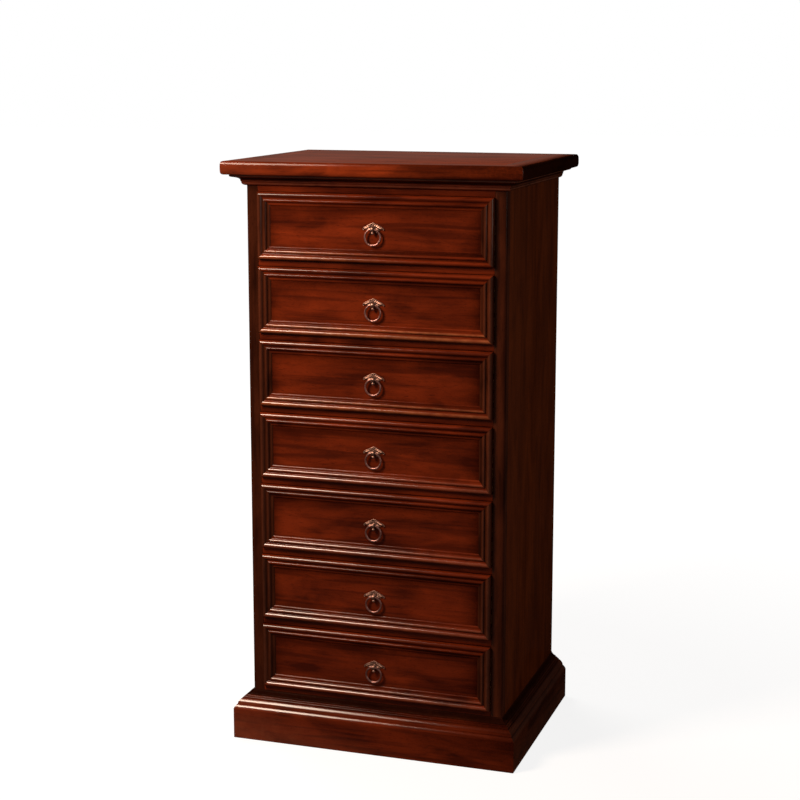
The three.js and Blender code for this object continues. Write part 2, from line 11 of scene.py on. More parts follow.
import bpy
import numpy as np
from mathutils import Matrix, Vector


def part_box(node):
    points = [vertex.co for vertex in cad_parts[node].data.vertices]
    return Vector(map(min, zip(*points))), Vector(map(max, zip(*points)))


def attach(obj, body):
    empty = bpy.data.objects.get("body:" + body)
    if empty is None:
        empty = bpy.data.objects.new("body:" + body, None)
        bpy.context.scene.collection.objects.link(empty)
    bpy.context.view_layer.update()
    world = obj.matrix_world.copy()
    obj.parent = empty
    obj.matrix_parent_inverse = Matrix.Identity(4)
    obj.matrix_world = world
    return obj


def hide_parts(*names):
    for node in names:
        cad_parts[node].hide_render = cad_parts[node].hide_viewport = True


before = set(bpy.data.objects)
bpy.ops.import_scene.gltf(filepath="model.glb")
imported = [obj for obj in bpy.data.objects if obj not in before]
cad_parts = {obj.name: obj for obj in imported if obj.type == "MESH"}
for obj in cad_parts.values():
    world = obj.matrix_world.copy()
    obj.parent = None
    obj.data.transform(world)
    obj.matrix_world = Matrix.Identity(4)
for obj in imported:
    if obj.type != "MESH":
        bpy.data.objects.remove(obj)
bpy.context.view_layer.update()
log = logging.getLogger("semainier")

Pair = tuple[float, float]
Triple = tuple[float, float, float]
Material = bpy.types.Material
Socket = bpy.types.NodeSocket

MM = 0.001
# The relief of a recess that old polish fills, of a flat face, and of a rubbed crest; some pieces set it
# lower to paint shade and higher to paint light
RECESS, FLAT, CREST = 0.0, 0.5, 1.0
# Edges over this many degrees stay sharp
SHARP = 38.0
# The easing of bare arrises that nobody handles
BARE_EASE = 0.0002
SIDES = ((-1, "left"), (1, "right"))
WHITE, BLACK = (1.0, 1.0, 1.0), (0.0, 0.0, 0.0)


class Grain(Enum):
    """The way that the grain of a piece of wood runs, as the turn that brings it onto X."""

    ACROSS = (0.0, 0.0, 0.0)
    DEEP = (0.0, 0.0, -math.pi / 2)
    UPRIGHT = (0.0, math.pi / 2, 0.0)


def arc(centre: Pair, radius: float, start: float, end: float, steps: int) -> np.ndarray:
    """Points on a round stretch: centre plus radius times the cosine and sine of each angle.

    Args:
        centre: the middle of the round, in two coordinates.
        radius: its radius.
        start: the first angle in degrees.
        end: the last angle in degrees.
        steps: how many stretches the arc is cut into.

    Returns:
        steps + 1 points, both ends included.
    """
    angle = np.radians(np.linspace(start, end, steps + 1))
    return np.column_stack([centre[0] + radius * np.cos(angle), centre[1] + radius * np.sin(angle)])


def curve_through(points: list[tuple[float, ...]], steps: int) -> np.ndarray:
    """A smooth line through points, in any number of coordinates.

    Each stretch is the cubic that leaves a point along half the way between its two neighbours.

    Args:
        points: the points to pass, in order.
        steps: how many pieces each stretch is cut into.

    Returns:
        The points of the line, both ends included.
    """
    known = np.asarray(points, float)
    padded = np.vstack([2 * known[0] - known[1], known, 2 * known[-1] - known[-2]])
    before, here, there, after = padded[:-3], padded[1:-2], padded[2:-1], padded[3:]
    t = np.linspace(0, 1, steps, endpoint=False)[:, None, None]
    slope, bend = there - before, 2 * before - 5 * here + 4 * there - after
    twist = 3 * (here - there) + after - before
    line = here + 0.5 * t * (slope + t * (bend + t * twist))
    return np.vstack([line.transpose(1, 0, 2).reshape(-1, known.shape[1]), known[-1:]])


def rounded_rectangle(low: Pair, high: Pair, ease: float, steps: int = 2) -> np.ndarray:
    """The outline of a rectangle with its corners eased by quarter rounds.

    Args:
        low: the lowest corner, in two coordinates.
        high: the highest corner.
        ease: the radius of the corners.
        steps: how many stretches each round has.

    Returns:
        The points of the outline, going round once.
    """
    corners = [(high[0] - ease, high[1] - ease, 0), (low[0] + ease, high[1] - ease, 90),
               (low[0] + ease, low[1] + ease, 180), (high[0] - ease, low[1] + ease, 270)]
    return np.vstack([arc((u, v), ease, start, start + 90, steps) for u, v, start in corners])


@dataclass
class Shell:
    """One closed skin over rows of points.

    Each row is a closed outline. The first and last rows are capped, or joined to each other
    where hoop is set.
    """

    points: np.ndarray
    finish: int | np.ndarray = 0
    hoop: bool = False
    relief: np.ndarray | float = FLAT

    def sides(self) -> np.ndarray:
        """The four-sided faces between the rows.

        Returns:
            The numbers of each face's corners, one row of four for each face.
        """
        rows, columns = self.points.shape[:2]
        row = np.arange(rows if self.hoop else rows - 1)[:, None]
        column = np.arange(columns)[None, :]
        below, above = row * columns, ((row + 1) % rows) * columns
        beside = (column + 1) % columns
        return np.stack([below + column, below + beside, above + beside, above + column], -1).reshape(-1, 4)

    def caps(self) -> list[list[int]]:
        """The end faces, of which a hoop has none.

        Returns:
            The numbers of each cap's corners.
        """
        if self.hoop:
            return []
        rows, columns = self.points.shape[:2]
        last = (rows - 1) * columns
        return [list(range(columns - 1, -1, -1)), list(range(last, last + columns))]

    def turned_in(self) -> bool:
        """Whether the faces point inwards: then the volume under them, summed over fans, is negative.

        Returns:
            True where they do.
        """
        flat = self.points.reshape(-1, 3) - self.points.reshape(-1, 3).mean(0)
        quads = self.sides()
        fans = [quads[:, [0, 1, 2]], quads[:, [0, 2, 3]]]
        for cap in self.caps():
            rest = np.array(cap)
            fans.append(np.column_stack([np.full(len(rest) - 2, rest[0]), rest[1:-1], rest[2:]]))
        a, b, c = (flat[np.vstack(fans)[:, corner]] for corner in range(3))
        return float(np.einsum("ij,ij->i", a, np.cross(b, c)).sum()) < 0

    def slots(self) -> np.ndarray:
        """The material slot of every face, sides first.

        Returns:
            One number for each face. The caps of a shell in several finishes have 0.
        """
        rows, columns = self.points.shape[:2]
        spans = rows if self.hoop else rows - 1
        sides = np.broadcast_to(self.finish, (spans, columns)).ravel()
        ends = [] if self.hoop else [self.finish if np.isscalar(self.finish) else 0] * 2
        return np.concatenate([sides, ends]).astype(np.int32)


def solid(name: str, shells: list[Shell], materials: list[Material], body: str, slot: str, *nodes: str,
          sharp: float = SHARP) -> None:
    """Puts shells into one mesh, in place, with its object at the origin, and hangs it on its body.

    Args:
        name: the name of the piece.
        shells: the closed skins that it is made of.
        materials: its material slots, in the order that the shells number them.
        body: the body that it moves with.
        slot: the record's material slot; not used.
        *nodes: the nodes that it stands for.
        sharp: edges over this many degrees stay sharp, and the others are shaded smooth.
    """
    points, faces, slots, relief, start = [], [], [], [], 0
    for shell in shells:
        grid = shell.points.reshape(-1, 3)
        found = [*(shell.sides() + start).tolist(), *([n + start for n in cap] for cap in shell.caps())]
        if shell.turned_in():
            found = [face[::-1] for face in found]
        faces += found
        points.append(grid)
        slots.append(shell.slots())
        relief.append(np.broadcast_to(shell.relief, shell.points.shape[:2]).ravel())
        start += len(grid)
    mesh = bpy.data.meshes.new(name)
    mesh.from_pydata(np.vstack(points).tolist(), [], faces)
    for material in materials:
        mesh.materials.append(material)
    mesh.polygons.foreach_set("material_index", np.concatenate(slots))
    mesh.polygons.foreach_set("use_smooth", np.ones(len(faces), bool))
    layer = mesh.attributes.new("relief", "FLOAT", "POINT")
    layer.data.foreach_set("value", np.concatenate(relief).astype(np.float32))
    mesh.set_sharp_from_angle(angle=math.radians(sharp))
    mesh.update()
    piece = bpy.data.objects.new(name, mesh)
    bpy.context.scene.collection.objects.link(piece)
    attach(piece, body)
    if nodes:
        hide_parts(*nodes)
    log.info("%s", name)


def eased_block(low: Triple, high: Triple, ease: float, finish: int = 0) -> Shell:
    """A board with all its arrises eased, as rounded rectangles carried along its longest side.

    The end rows are drawn in by the ease, so that the end arrises are eased as well.

    Args:
        low: the lowest corner.
        high: the highest corner.
        ease: the radius of the arrises.
        finish: the material slot.

    Returns:
        The shell of the board.
    """
    low, high = np.asarray(low, float), np.asarray(high, float)
    along = int(np.argmax(high - low))
    first, second = [axis for axis in range(3) if axis != along]
    stations = [(low[along], ease), (low[along] + ease / 3, ease / 3), (low[along] + ease, 0.0),
                (high[along] - ease, 0.0), (high[along] - ease / 3, ease / 3), (high[along], ease)]
    rows = []
    for place, drawn_in in stations:
        section = rounded_rectangle(
            (low[first] + drawn_in, low[second] + drawn_in),
            (high[first] - drawn_in, high[second] - drawn_in), max(ease - drawn_in, ease / 4))
        row = np.empty((len(section), 3))
        row[:, first], row[:, second], row[:, along] = section[:, 0], section[:, 1], place
        rows.append(row)
    return Shell(np.stack(rows), finish)


def prism(outline: np.ndarray, axis: int, start: float, end: float, finish: int = 0) -> Shell:
    """A flat outline carried straight along one axis.

    Args:
        outline: points in the two other coordinates, in the order of the axes.
        axis: the number of the axis that it is carried along.
        start: where it starts on that axis.
        end: where it ends.
        finish: the material slot.

    Returns:
        The shell of the prism.
    """
    rows = [np.insert(np.asarray(outline, float), axis, place, axis=1) for place in (start, end)]
    return Shell(np.stack(rows), finish)


def turned(profile: np.ndarray, centre: Triple, axis: int, sides: int) -> Shell:
    """A turned piece: a profile of place along the axis and radius, carried round that axis.

    Args:
        profile: rows of place along the axis, radius and, if there is a third column, relief.
        centre: the point that the profile is measured from.
        axis: the number of the axis.
        sides: how many sides the round has.

    Returns:
        The shell of the turned piece.
    """
    angle = np.linspace(0, 2 * np.pi, sides, endpoint=False)
    first, second = [number for number in range(3) if number != axis]
    points = np.empty((len(profile), sides, 3))
    points[..., axis] = centre[axis] + profile[:, 0, None]
    points[..., first] = centre[first] + profile[:, 1, None] * np.cos(angle)
    points[..., second] = centre[second] + profile[:, 1, None] * np.sin(angle)
    relief = profile[:, 2, None] if profile.shape[1] > 2 else FLAT
    return Shell(points, relief=relief)


class Nodes:
    """A short way to lay out shader nodes in one tree."""

    def __init__(self, tree: bpy.types.NodeTree) -> None:
        """Starts on an empty tree."""
        self.tree = tree
        tree.nodes.clear()

    def add(self, kind: str, **settings: object) -> bpy.types.Node:
        """Adds a node and sets its properties.

        Args:
            kind: Blender's name for the node, without the word ShaderNode.
            **settings: properties of the node.

        Returns:
            The new node.
        """
        node = self.tree.nodes.new(kind if kind.startswith("Node") else "ShaderNode" + kind)
        for name, value in settings.items():
            setattr(node, name, value)
        return node

    def feed(self, node: bpy.types.Node, **values: object) -> bpy.types.Node:
        """Links or sets a node's inputs, named by i and their number, or by their labels with _ for a space.

        Args:
            node: the node to feed.
            **values: sockets to link from, or plain values.

        Returns:
            The same node.
        """
        for name, value in values.items():
            numbered = name[0] == "i" and name[1:].isdigit()
            socket = node.inputs[int(name[1:]) if numbered else name.replace("_", " ")]
            if isinstance(value, Socket):
                self.tree.links.new(value, socket)
            else:
                socket.default_value = value
        return node

    def group(self, tree: bpy.types.NodeTree, **values: object) -> bpy.types.Node:
        """Places a node group and feeds it."""
        return self.feed(self.add("Group", node_tree=tree), **values)

    def maths(self, operation: str, first: object, second: object = 0.0, clamp: bool = False) -> Socket:
        """The result of one sum on two numbers."""
        node = self.add("Math", operation=operation, use_clamp=clamp)
        return self.feed(node, i0=first, i1=second).outputs[0]

    def vector(self, operation: str, first: Socket, **second: object) -> Socket:
        """The result of one sum on a vector and a second input, which is named as feed names it."""
        node = self.add("VectorMath", operation=operation)
        return self.feed(node, i0=first, **second).outputs[0]

    def noise(self, where: Socket, along: float, across: float, detail: float, roughness: float,
              distortion: float = 0.0, output: str = "Fac") -> Socket:
        """Noise from 0 to 1, on coordinates whose grain runs along X.

        Args:
            where: the coordinates.
            along: cells to the metre along the grain.
            across: cells to the metre across it.
            detail: how many finer layers it has.
            roughness: how much each of these layers weighs.
            distortion: how far it is twisted.
            output: Fac for one value, Color for three.

        Returns:
            The noise.
        """
        cells = self.vector("MULTIPLY", where, i1=(along, across, across))
        node = self.add("TexNoise", noise_dimensions="3D")
        self.feed(node, Vector=cells, Scale=1.0, Detail=detail, Roughness=roughness, Distortion=distortion)
        return node.outputs[output]

    def spread(self, value: Socket, low: float, high: float, to_low: object = 0.0,
               to_high: float = 1.0) -> Socket:
        """A value stretched from one range to another and kept inside it."""
        node = self.add("MapRange", clamp=True)
        return self.feed(node, i0=value, i1=low, i2=high, i3=to_low, i4=to_high).outputs[0]

    def mix(self, share: object, first: object, second: Triple) -> Socket:
        """A colour mixed with a second one by a share."""
        first = first if isinstance(first, Socket) else rgba(first)
        return self.feed(self.add("Mix", data_type="RGBA"), i0=share, i6=first, i7=rgba(second)).outputs[2]

    def figured(self, wood: bpy.types.Node, tone: Socket,
                *layers: tuple[str, float, float, float, Triple]) -> Socket:
        """Lays the stripes, lines and pores of wood over its tone.

        Args:
            wood: the wood figure group's node.
            tone: the colour under them.
            *layers: for each its name, where it starts, where it is whole, its share, and its colour.

        Returns:
            The colour with the layers on it.
        """
        for label, low, high, share, colour in layers:
            tone = self.mix(self.spread(wood.outputs[label], low, high, 0.0, share), tone, colour)
        return tone

    def bump(self, height: Socket, distance: float, strength: float) -> Socket:
        """The normal that a height gives, over a distance in metres."""
        node = self.feed(self.add("Bump"), Height=height, Distance=distance, Strength=strength)
        return node.outputs["Normal"]


def shader_group(name: str, inputs: dict[str, tuple[str, object]],
                 outputs: list[str]) -> tuple[Nodes, bpy.types.Node, bpy.types.Node]:
    """Starts a node group with named inputs and outputs.

    Args:
        name: the name of the group.
        inputs: for each input its socket type and value at rest.
        outputs: the names of the outputs, all of them numbers.

    Returns:
        The group's nodes, its input node and its output node.
    """
    tree = bpy.data.node_groups.new(name, "ShaderNodeTree")
    for label, (kind, value) in inputs.items():
        socket = tree.interface.new_socket(label, in_out="INPUT", socket_type=kind)
        if value is not None:
            socket.default_value = value
    for label in outputs:
        tree.interface.new_socket(label, in_out="OUTPUT", socket_type="NodeSocketFloat")
    nodes = Nodes(tree)
    return nodes, nodes.add("NodeGroupInput"), nodes.add("NodeGroupOutput")


# The noises in the figure of wood: cells to the metre along and across the grain, detail, roughness and
# distortion. The drift bends the others.
DRIFT = (2.6, 7.0, 2.0, 0.5, 0.0)
FIGURE = {"Cloud": (7.0, 26.0, 3.0, 0.55, 0.6), "Stripe": (4.5, 150.0, 4.0, 0.6, 0.0),
          "Line": (2.2, 62.0, 2.0, 0.5, 0.4), "Pore": (95.0, 1500.0, 1.0, 0.5, 0.0)}


def wood_figure_group() -> bpy.types.NodeTree:
    """The figure of wood whose grain runs along X: cloud, stripes, growth lines and pores.

    Each is noise at its own scale, drawn out along the grain, on coordinates that a slow noise bends.

    Returns:
        The group.
    """
    nodes, given, result = shader_group(
        "wood_figure", {"Vector": ("NodeSocketVector", None), "Bend": ("NodeSocketFloat", 0.0)}, list(FIGURE))
    where = given.outputs["Vector"]
    centred = nodes.vector("SUBTRACT", nodes.noise(where, *DRIFT, output="Color"), i1=(0.5, 0.5, 0.5))
    bent = nodes.vector("ADD", where, i1=nodes.vector("SCALE", centred, Scale=given.outputs["Bend"]))
    for label, kind in FIGURE.items():
        nodes.tree.links.new(nodes.noise(bent, *kind), result.inputs[label])
    return nodes.tree


def handling_group() -> bpy.types.NodeTree:
    """Age and handling, and painted light and shade: rubbed crests, dark polish in recesses, a patchy sheen,
    and how deep the gloss is. Rubbed and Lit also paints light where a piece raises its relief, and Packed
    and Shade paints shade where a piece lowers it.

    The gloss is Flat Gloss on flat faces, whole on a crest, and nothing at the bottom of a recess.

    Returns:
        The group.
    """
    nodes, given, result = shader_group(
        "handling",
        {"Vector": ("NodeSocketVector", None), "Relief": ("NodeSocketFloat", FLAT),
         "Flat Gloss": ("NodeSocketFloat", 0.0)},
        ["Rubbed", "Packed", "Sheen", "Gloss"])
    where, relief = given.outputs["Vector"], given.outputs["Relief"]
    patch = nodes.noise(where, 38.0, 38.0, 3.0, 0.6)
    fine = nodes.noise(where, 240.0, 240.0, 2.0, 0.6)
    crest, deep = nodes.spread(relief, 0.56, 1.0), nodes.spread(relief, 0.42, 0.0)
    polished = nodes.spread(relief, FLAT, CREST, given.outputs["Flat Gloss"], 1.0)
    for label, value in (
            ("Rubbed", nodes.maths("MULTIPLY", crest, nodes.spread(patch, 0.36, 0.66, 0.4, 1.0))),
            ("Packed", nodes.maths("MULTIPLY", deep, nodes.spread(fine, 0.2, 0.6, 0.7, 1.0))),
            ("Sheen", nodes.spread(patch, 0.3, 0.7)),
            ("Gloss", nodes.maths("MULTIPLY", polished, nodes.spread(relief, RECESS, FLAT)))):
        nodes.tree.links.new(value, result.inputs[label])
    return nodes.tree


@dataclass(frozen=True)
class Shared:
    """The node groups that the finishes share."""

    figure: bpy.types.NodeTree
    handling: bpy.types.NodeTree


@dataclass(frozen=True)
class Polish:
    """Glossy red-brown lacquer over figured wood."""

    name: str
    dark: Triple
    middle: Triple
    light: Triple
    # The rubbed colour also paints light where a piece raises its relief, and packed also paints shade where
    # a piece lowers it
    rubbed: Triple
    packed: Triple = (0.007, 0.0015, 0.0008)
    cloud_share: float = 0.72
    cloud_range: Pair = (0.36, 0.64)
    rubbed_and_lit_share: float = 0.6
    packed_and_shade_share: float = 0.85
    roughness: float = 0.4
    coat_roughness: float = 0.15
    coat_ior: float = 1.6
    flat_gloss: float = 0.2
    glancing_coat: float = 0.1
    bend: float = 0.014

    def material(self, grain: Grain, shared: Shared) -> Material:
        """The lacquered wood.

        Args:
            grain: the way that its grain runs.
            shared: the shared groups.

        Returns:
            The material.
        """
        material, nodes, where = start_material(f"{self.name}_{grain.name.lower()}", grain)
        wood = nodes.group(shared.figure, Vector=where, Bend=self.bend)
        age = nodes.group(shared.handling, Vector=where, Relief=relief_of(nodes), Flat_Gloss=self.flat_gloss)
        cloud = nodes.maths("ADD", nodes.maths("MULTIPLY", wood.outputs["Cloud"], self.cloud_share),
                            nodes.maths("MULTIPLY", wood.outputs["Stripe"], 1.0 - self.cloud_share))
        tone = nodes.mix(nodes.spread(cloud, *self.cloud_range), self.dark, self.light)
        bare = nodes.figured(wood, tone, ("Stripe", 0.45, 0.75, 0.6, self.middle),
                             ("Line", 0.56, 0.68, 0.65, self.dark), ("Pore", 0.62, 0.72, 0.6, self.packed))
        worn_and_lit = nodes.maths("MULTIPLY", age.outputs["Rubbed"], self.rubbed_and_lit_share)
        filled_and_shaded = nodes.maths("MULTIPLY", age.outputs["Packed"], self.packed_and_shade_share)
        colour = nodes.mix(filled_and_shaded, nodes.mix(worn_and_lit, bare, self.rubbed), self.packed)
        sheen = nodes.spread(age.outputs["Sheen"], 0.0, 1.0, self.roughness - 0.04, self.roughness + 0.08)
        rough = nodes.maths("ADD", sheen, nodes.maths("MULTIPLY", age.outputs["Packed"], 0.2))
        glance = nodes.feed(nodes.add("LayerWeight"), Blend=0.5).outputs["Facing"]
        coat = nodes.maths("MULTIPLY", nodes.spread(glance, 0.25, 0.75, 1.0, self.glancing_coat),
                           age.outputs["Gloss"])
        ripple = nodes.noise(where, 30.0, 120.0, 2.0, 0.5)
        surface = nodes.add("BsdfPrincipled")
        nodes.feed(surface, Base_Color=colour, Roughness=rough, Specular_IOR_Level=0.0, Coat_Weight=coat,
                   Coat_Roughness=self.coat_roughness, Coat_Normal=nodes.bump(ripple, 0.0004, 0.4),
                   Coat_IOR=self.coat_ior, Normal=nodes.bump(wood.outputs["Stripe"], 0.0004, 0.3))
        return finish_material(material, nodes, surface)


@dataclass(frozen=True)
class PlainWood:
    """Bare sanded wood of the drawer boxes, frames and back."""

    name: str = "drawer_wood"
    pale: Triple = (0.50, 0.31, 0.155)
    deep: Triple = (0.335, 0.185, 0.082)
    pore: Triple = (0.17, 0.085, 0.035)
    roughness: float = 0.6
    bend: float = 0.02

    def material(self, grain: Grain, shared: Shared) -> Material:
        """The bare wood.

        Args:
            grain: the way that its grain runs.
            shared: the shared groups.

        Returns:
            The material.
        """
        material, nodes, where = start_material(f"{self.name}_{grain.name.lower()}", grain)
        wood = nodes.group(shared.figure, Vector=where, Bend=self.bend)
        age = nodes.group(shared.handling, Vector=where, Relief=relief_of(nodes))
        tone = nodes.mix(nodes.spread(wood.outputs["Line"], 0.38, 0.66), self.pale, self.deep)
        colour = nodes.figured(wood, tone, ("Stripe", 0.45, 0.75, 0.5, self.deep),
                               ("Pore", 0.6, 0.72, 0.55, self.pore))
        rough = nodes.spread(age.outputs["Sheen"], 0.0, 1.0, self.roughness - 0.06, self.roughness + 0.08)
        height = nodes.maths("SUBTRACT", wood.outputs["Stripe"], wood.outputs["Pore"])
        surface = nodes.add("BsdfPrincipled")
        nodes.feed(surface, Base_Color=colour, Roughness=rough, Specular_IOR_Level=0.25,
                   Normal=nodes.bump(height, 0.0004, 0.5))
        return finish_material(material, nodes, surface)


@dataclass(frozen=True)
class AgedBrass:
    """Cast brass, bright where it is rubbed and brown in the hollows."""

    name: str = "aged_brass"
    bright: Triple = (0.372, 0.205, 0.155)
    dull: Triple = (0.205, 0.100, 0.076)
    brown: Triple = (0.026, 0.012, 0.009)
    roughness: float = 0.4

    def material(self, grain: Grain, shared: Shared) -> Material:
        """The brass.

        Args:
            grain: the way that its coordinates are turned.
            shared: the shared groups, of which it has only the handling.

        Returns:
            The material.
        """
        material, nodes, where = start_material(self.name, grain)
        relief = relief_of(nodes)
        age = nodes.group(shared.handling, Vector=where, Relief=relief)
        mottle = nodes.noise(where, 420.0, 420.0, 3.0, 0.65)
        tone = nodes.mix(nodes.spread(mottle, 0.35, 0.65), self.dull, self.bright)
        lifted = nodes.mix(nodes.spread(relief, 0.55, 1.0), tone, self.bright)
        colour = nodes.mix(nodes.spread(relief, 0.42, 0.05, 0.0, 0.92), lifted, self.brown)
        sheen = nodes.spread(mottle, 0.3, 0.7, self.roughness - 0.07, self.roughness + 0.1)
        rough = nodes.maths("ADD", sheen, nodes.maths("MULTIPLY", age.outputs["Packed"], 0.3))
        surface = nodes.add("BsdfPrincipled")
        nodes.feed(surface, Base_Color=colour, Metallic=1.0, Roughness=rough,
                   Normal=nodes.bump(mottle, 0.0002, 0.35))
        return finish_material(material, nodes, surface)


def rgba(colour: Triple) -> tuple[float, float, float, float]:
    """A colour with full cover."""
    return (*colour, 1.0)


def start_material(name: str, grain: Grain) -> tuple[Material, Nodes, Socket]:
    """Starts a material and its object coordinates, turned so that the grain runs along X.

    Args:
        name: the name of the material.
        grain: the way that the grain runs on the piece.

    Returns:
        The material, its nodes and the turned coordinates.
    """
    material = bpy.data.materials.new(name)
    material.use_nodes = True
    nodes = Nodes(material.node_tree)
    mapping = nodes.add("Mapping", vector_type="POINT")
    nodes.feed(mapping, Vector=nodes.add("TexCoord").outputs["Object"], Rotation=grain.value)
    return material, nodes, mapping.outputs["Vector"]


def relief_of(nodes: Nodes) -> Socket:
    """The piece's own relief value: 0 in a recess, 1 on a crest, set lower in places to paint shade and
    higher to paint light.
    """
    return nodes.add("Attribute", attribute_type="GEOMETRY", attribute_name="relief").outputs["Fac"]


def finish_material(material: Material, nodes: Nodes, surface: bpy.types.Node) -> Material:
    """Joins the surface shader to the material's output; returns the material."""
    nodes.feed(nodes.add("OutputMaterial"), Surface=surface.outputs[0])
    return material


POLISH = Polish("polished_wood", dark=(0.046, 0.0058, 0.0017), middle=(0.104, 0.0120, 0.0026),
                light=(0.180, 0.0226, 0.0048), rubbed=(0.25, 0.056, 0.020))
FLANK = replace(POLISH, name="side_polished_wood", dark=(0.066, 0.0130, 0.0030),
                middle=(0.094, 0.0184, 0.0040), light=(0.130, 0.0258, 0.0055))
TOP = replace(POLISH, name="top_polished_wood", dark=(0.115, 0.0190, 0.0070), middle=(0.205, 0.0350, 0.0130),
              light=(0.290, 0.0520, 0.0200), flat_gloss=0.9, glancing_coat=0.8)
# A lighter copy of the polish for the front of the top's nose, painting part of the light that the edge
# catches
LIT_NOSE = replace(POLISH, name="lit_nose_polished_wood", dark=(0.074, 0.0098, 0.0026),
               middle=(0.158, 0.0195, 0.0040), light=(0.260, 0.0350, 0.0072))
# A copy with light gold rubbed crests and a weaker coat, for the lower members of the top three drawers: the
# gold crests are partly rubbing and partly a painted golden highlight
HONEY = replace(POLISH, name="golden_glint_polished_wood", rubbed=(0.46, 0.135, 0.045), coat_ior=1.47)
# A darker copy of the polish. On the side runs of the mouldings, the ends of the top's nose, the sides of the
# base board and the upright members of the drawer fronts it paints shade; it is also the colour of the stiles
# and the cove
STAIN = Polish("stain_and_shade_polished_wood", dark=(0.020, 0.0042, 0.0016), middle=(0.045, 0.0096, 0.0036),
               light=(0.074, 0.0160, 0.0058), rubbed=(0.22, 0.056, 0.022))
PLAIN = PlainWood()
SHEET = PlainWood("sheet_wood", pale=(0.52, 0.305, 0.155), deep=(0.38, 0.205, 0.095),
                  pore=(0.19, 0.095, 0.042), roughness=0.66)
BRASS = AgedBrass()
RING_BRASS = AgedBrass("ring_brass", bright=(0.43, 0.220, 0.195), dull=(0.238, 0.108, 0.095))


class Finishes:
    """The finishes on the chest, each made once for each way of the grain that it is asked for."""

    def __init__(self) -> None:
        """Makes the shared groups."""
        self.shared = Shared(wood_figure_group(), handling_group())
        self.made: dict[tuple[str, Grain], Material] = {}

    def of(self, recipe: Polish | PlainWood | AgedBrass, grain: Grain = Grain.ACROSS) -> Material:
        """One finish with its grain along one way.

        Args:
            recipe: the finish.
            grain: the way that its grain runs.

        Returns:
            The material.
        """
        if (recipe.name, grain) not in self.made:
            self.made[recipe.name, grain] = recipe.material(grain, self.shared)
        return self.made[recipe.name, grain]


@dataclass
class Carcass:
    """The case, with its front face at front_y, and the openings that it has for the drawers.

    The slab of a closed drawer's front reaches in from there by slab_depth.
    """

    finishes: Finishes
    half_width: float = 0.280
    depth: float = 0.440
    front_y: float = -0.203
    side_thickness: float = 0.020
    top_z: float = 1.222
    base_z: float = 0.094
    glue_gap: float = 0.0002
    drawers: int = 7
    pitch: float = 0.155
    top_opening_z: float = 1.0455
    slab_depth: float = 0.011

    @property
    def back_y(self) -> float:
        """The plane of the carcass's back."""
        return self.front_y + self.depth

    def opening_z(self, number: int) -> float:
        """The floor of a drawer's opening, counted from the top."""
        return self.top_opening_z - (number - 1) * self.pitch

    def piece(self, name: str, shells: list[Shell], materials: list[Material], node: str) -> None:
        """Makes a piece of the case, in the finishes given, that stands for one node."""
        solid(name, shells, materials, "carcass", "polished_wood", node)

    def along_front(self, section: np.ndarray, gap: float = 0.0, painted_falloff: Pair = (0.0, 0.0)) -> Shell:
        """A moulding along the front, mitred at both ends.

        Each end row is the section with its projection added to the half width as well.

        Args:
            section: rows of projection, height and relief, going round once.
            gap: how far each mitre stands back.
            painted_falloff: what is added to the relief at the left end and at the right end, painting light
                at one end and shade at the other.

        Returns:
            The shell of the moulding.
        """
        out, up, relief = section.T
        across = self.half_width + out - gap
        rows = [np.column_stack([side * across, self.front_y - out, up]) for side in (-1, 1)]
        return Shell(np.stack(rows), relief=np.clip(relief[None, :] + np.array(painted_falloff)[:, None], RECESS, CREST))

    def along_side(self, section: np.ndarray, side: int, finish: int = 0) -> Shell:
        """A moulding along one side, mitred at the front and square at the back.

        Args:
            section: rows of projection, height and relief, going round once.
            side: -1 for the left, 1 for the right.
            finish: the material slot.

        Returns:
            The shell of the moulding.
        """
        out, up, relief = section.T
        across = side * (self.half_width + out)
        front = np.column_stack([across, self.front_y - out, up])
        back = np.column_stack([across, np.full_like(out, self.back_y), up])
        return Shell(np.stack([front, back]), finish, relief=relief[None, :])

    def three_ways(self, stem: str, section: np.ndarray, finish: Material, painted_falloff: Pair = (0.0, 0.0)) -> None:
        """Runs one moulding along the front and both sides, each standing for its own node.

        Args:
            stem: the stem of the nodes' names.
            section: rows of projection, height and relief, going round once.
            finish: the finish of the front run; the side runs have the darker copy of the polish, as painted
                shade.
            painted_falloff: what is added to the front run's relief at its left end and at its right end,
                painting light at one end and shade at the other.
        """
        front = self.along_front(section, self.glue_gap, painted_falloff)
        self.piece(stem + "_front_run", [front], [finish], stem + "_front")
        # The side runs have the darker copy of the polish: painted shade
        stain_and_shade = self.finishes.of(STAIN, Grain.DEEP)
        for side, word in SIDES:
            self.piece(f"{stem}_{word}_run", [self.along_side(section, side)], [stain_and_shade], f"{stem}_{word}")


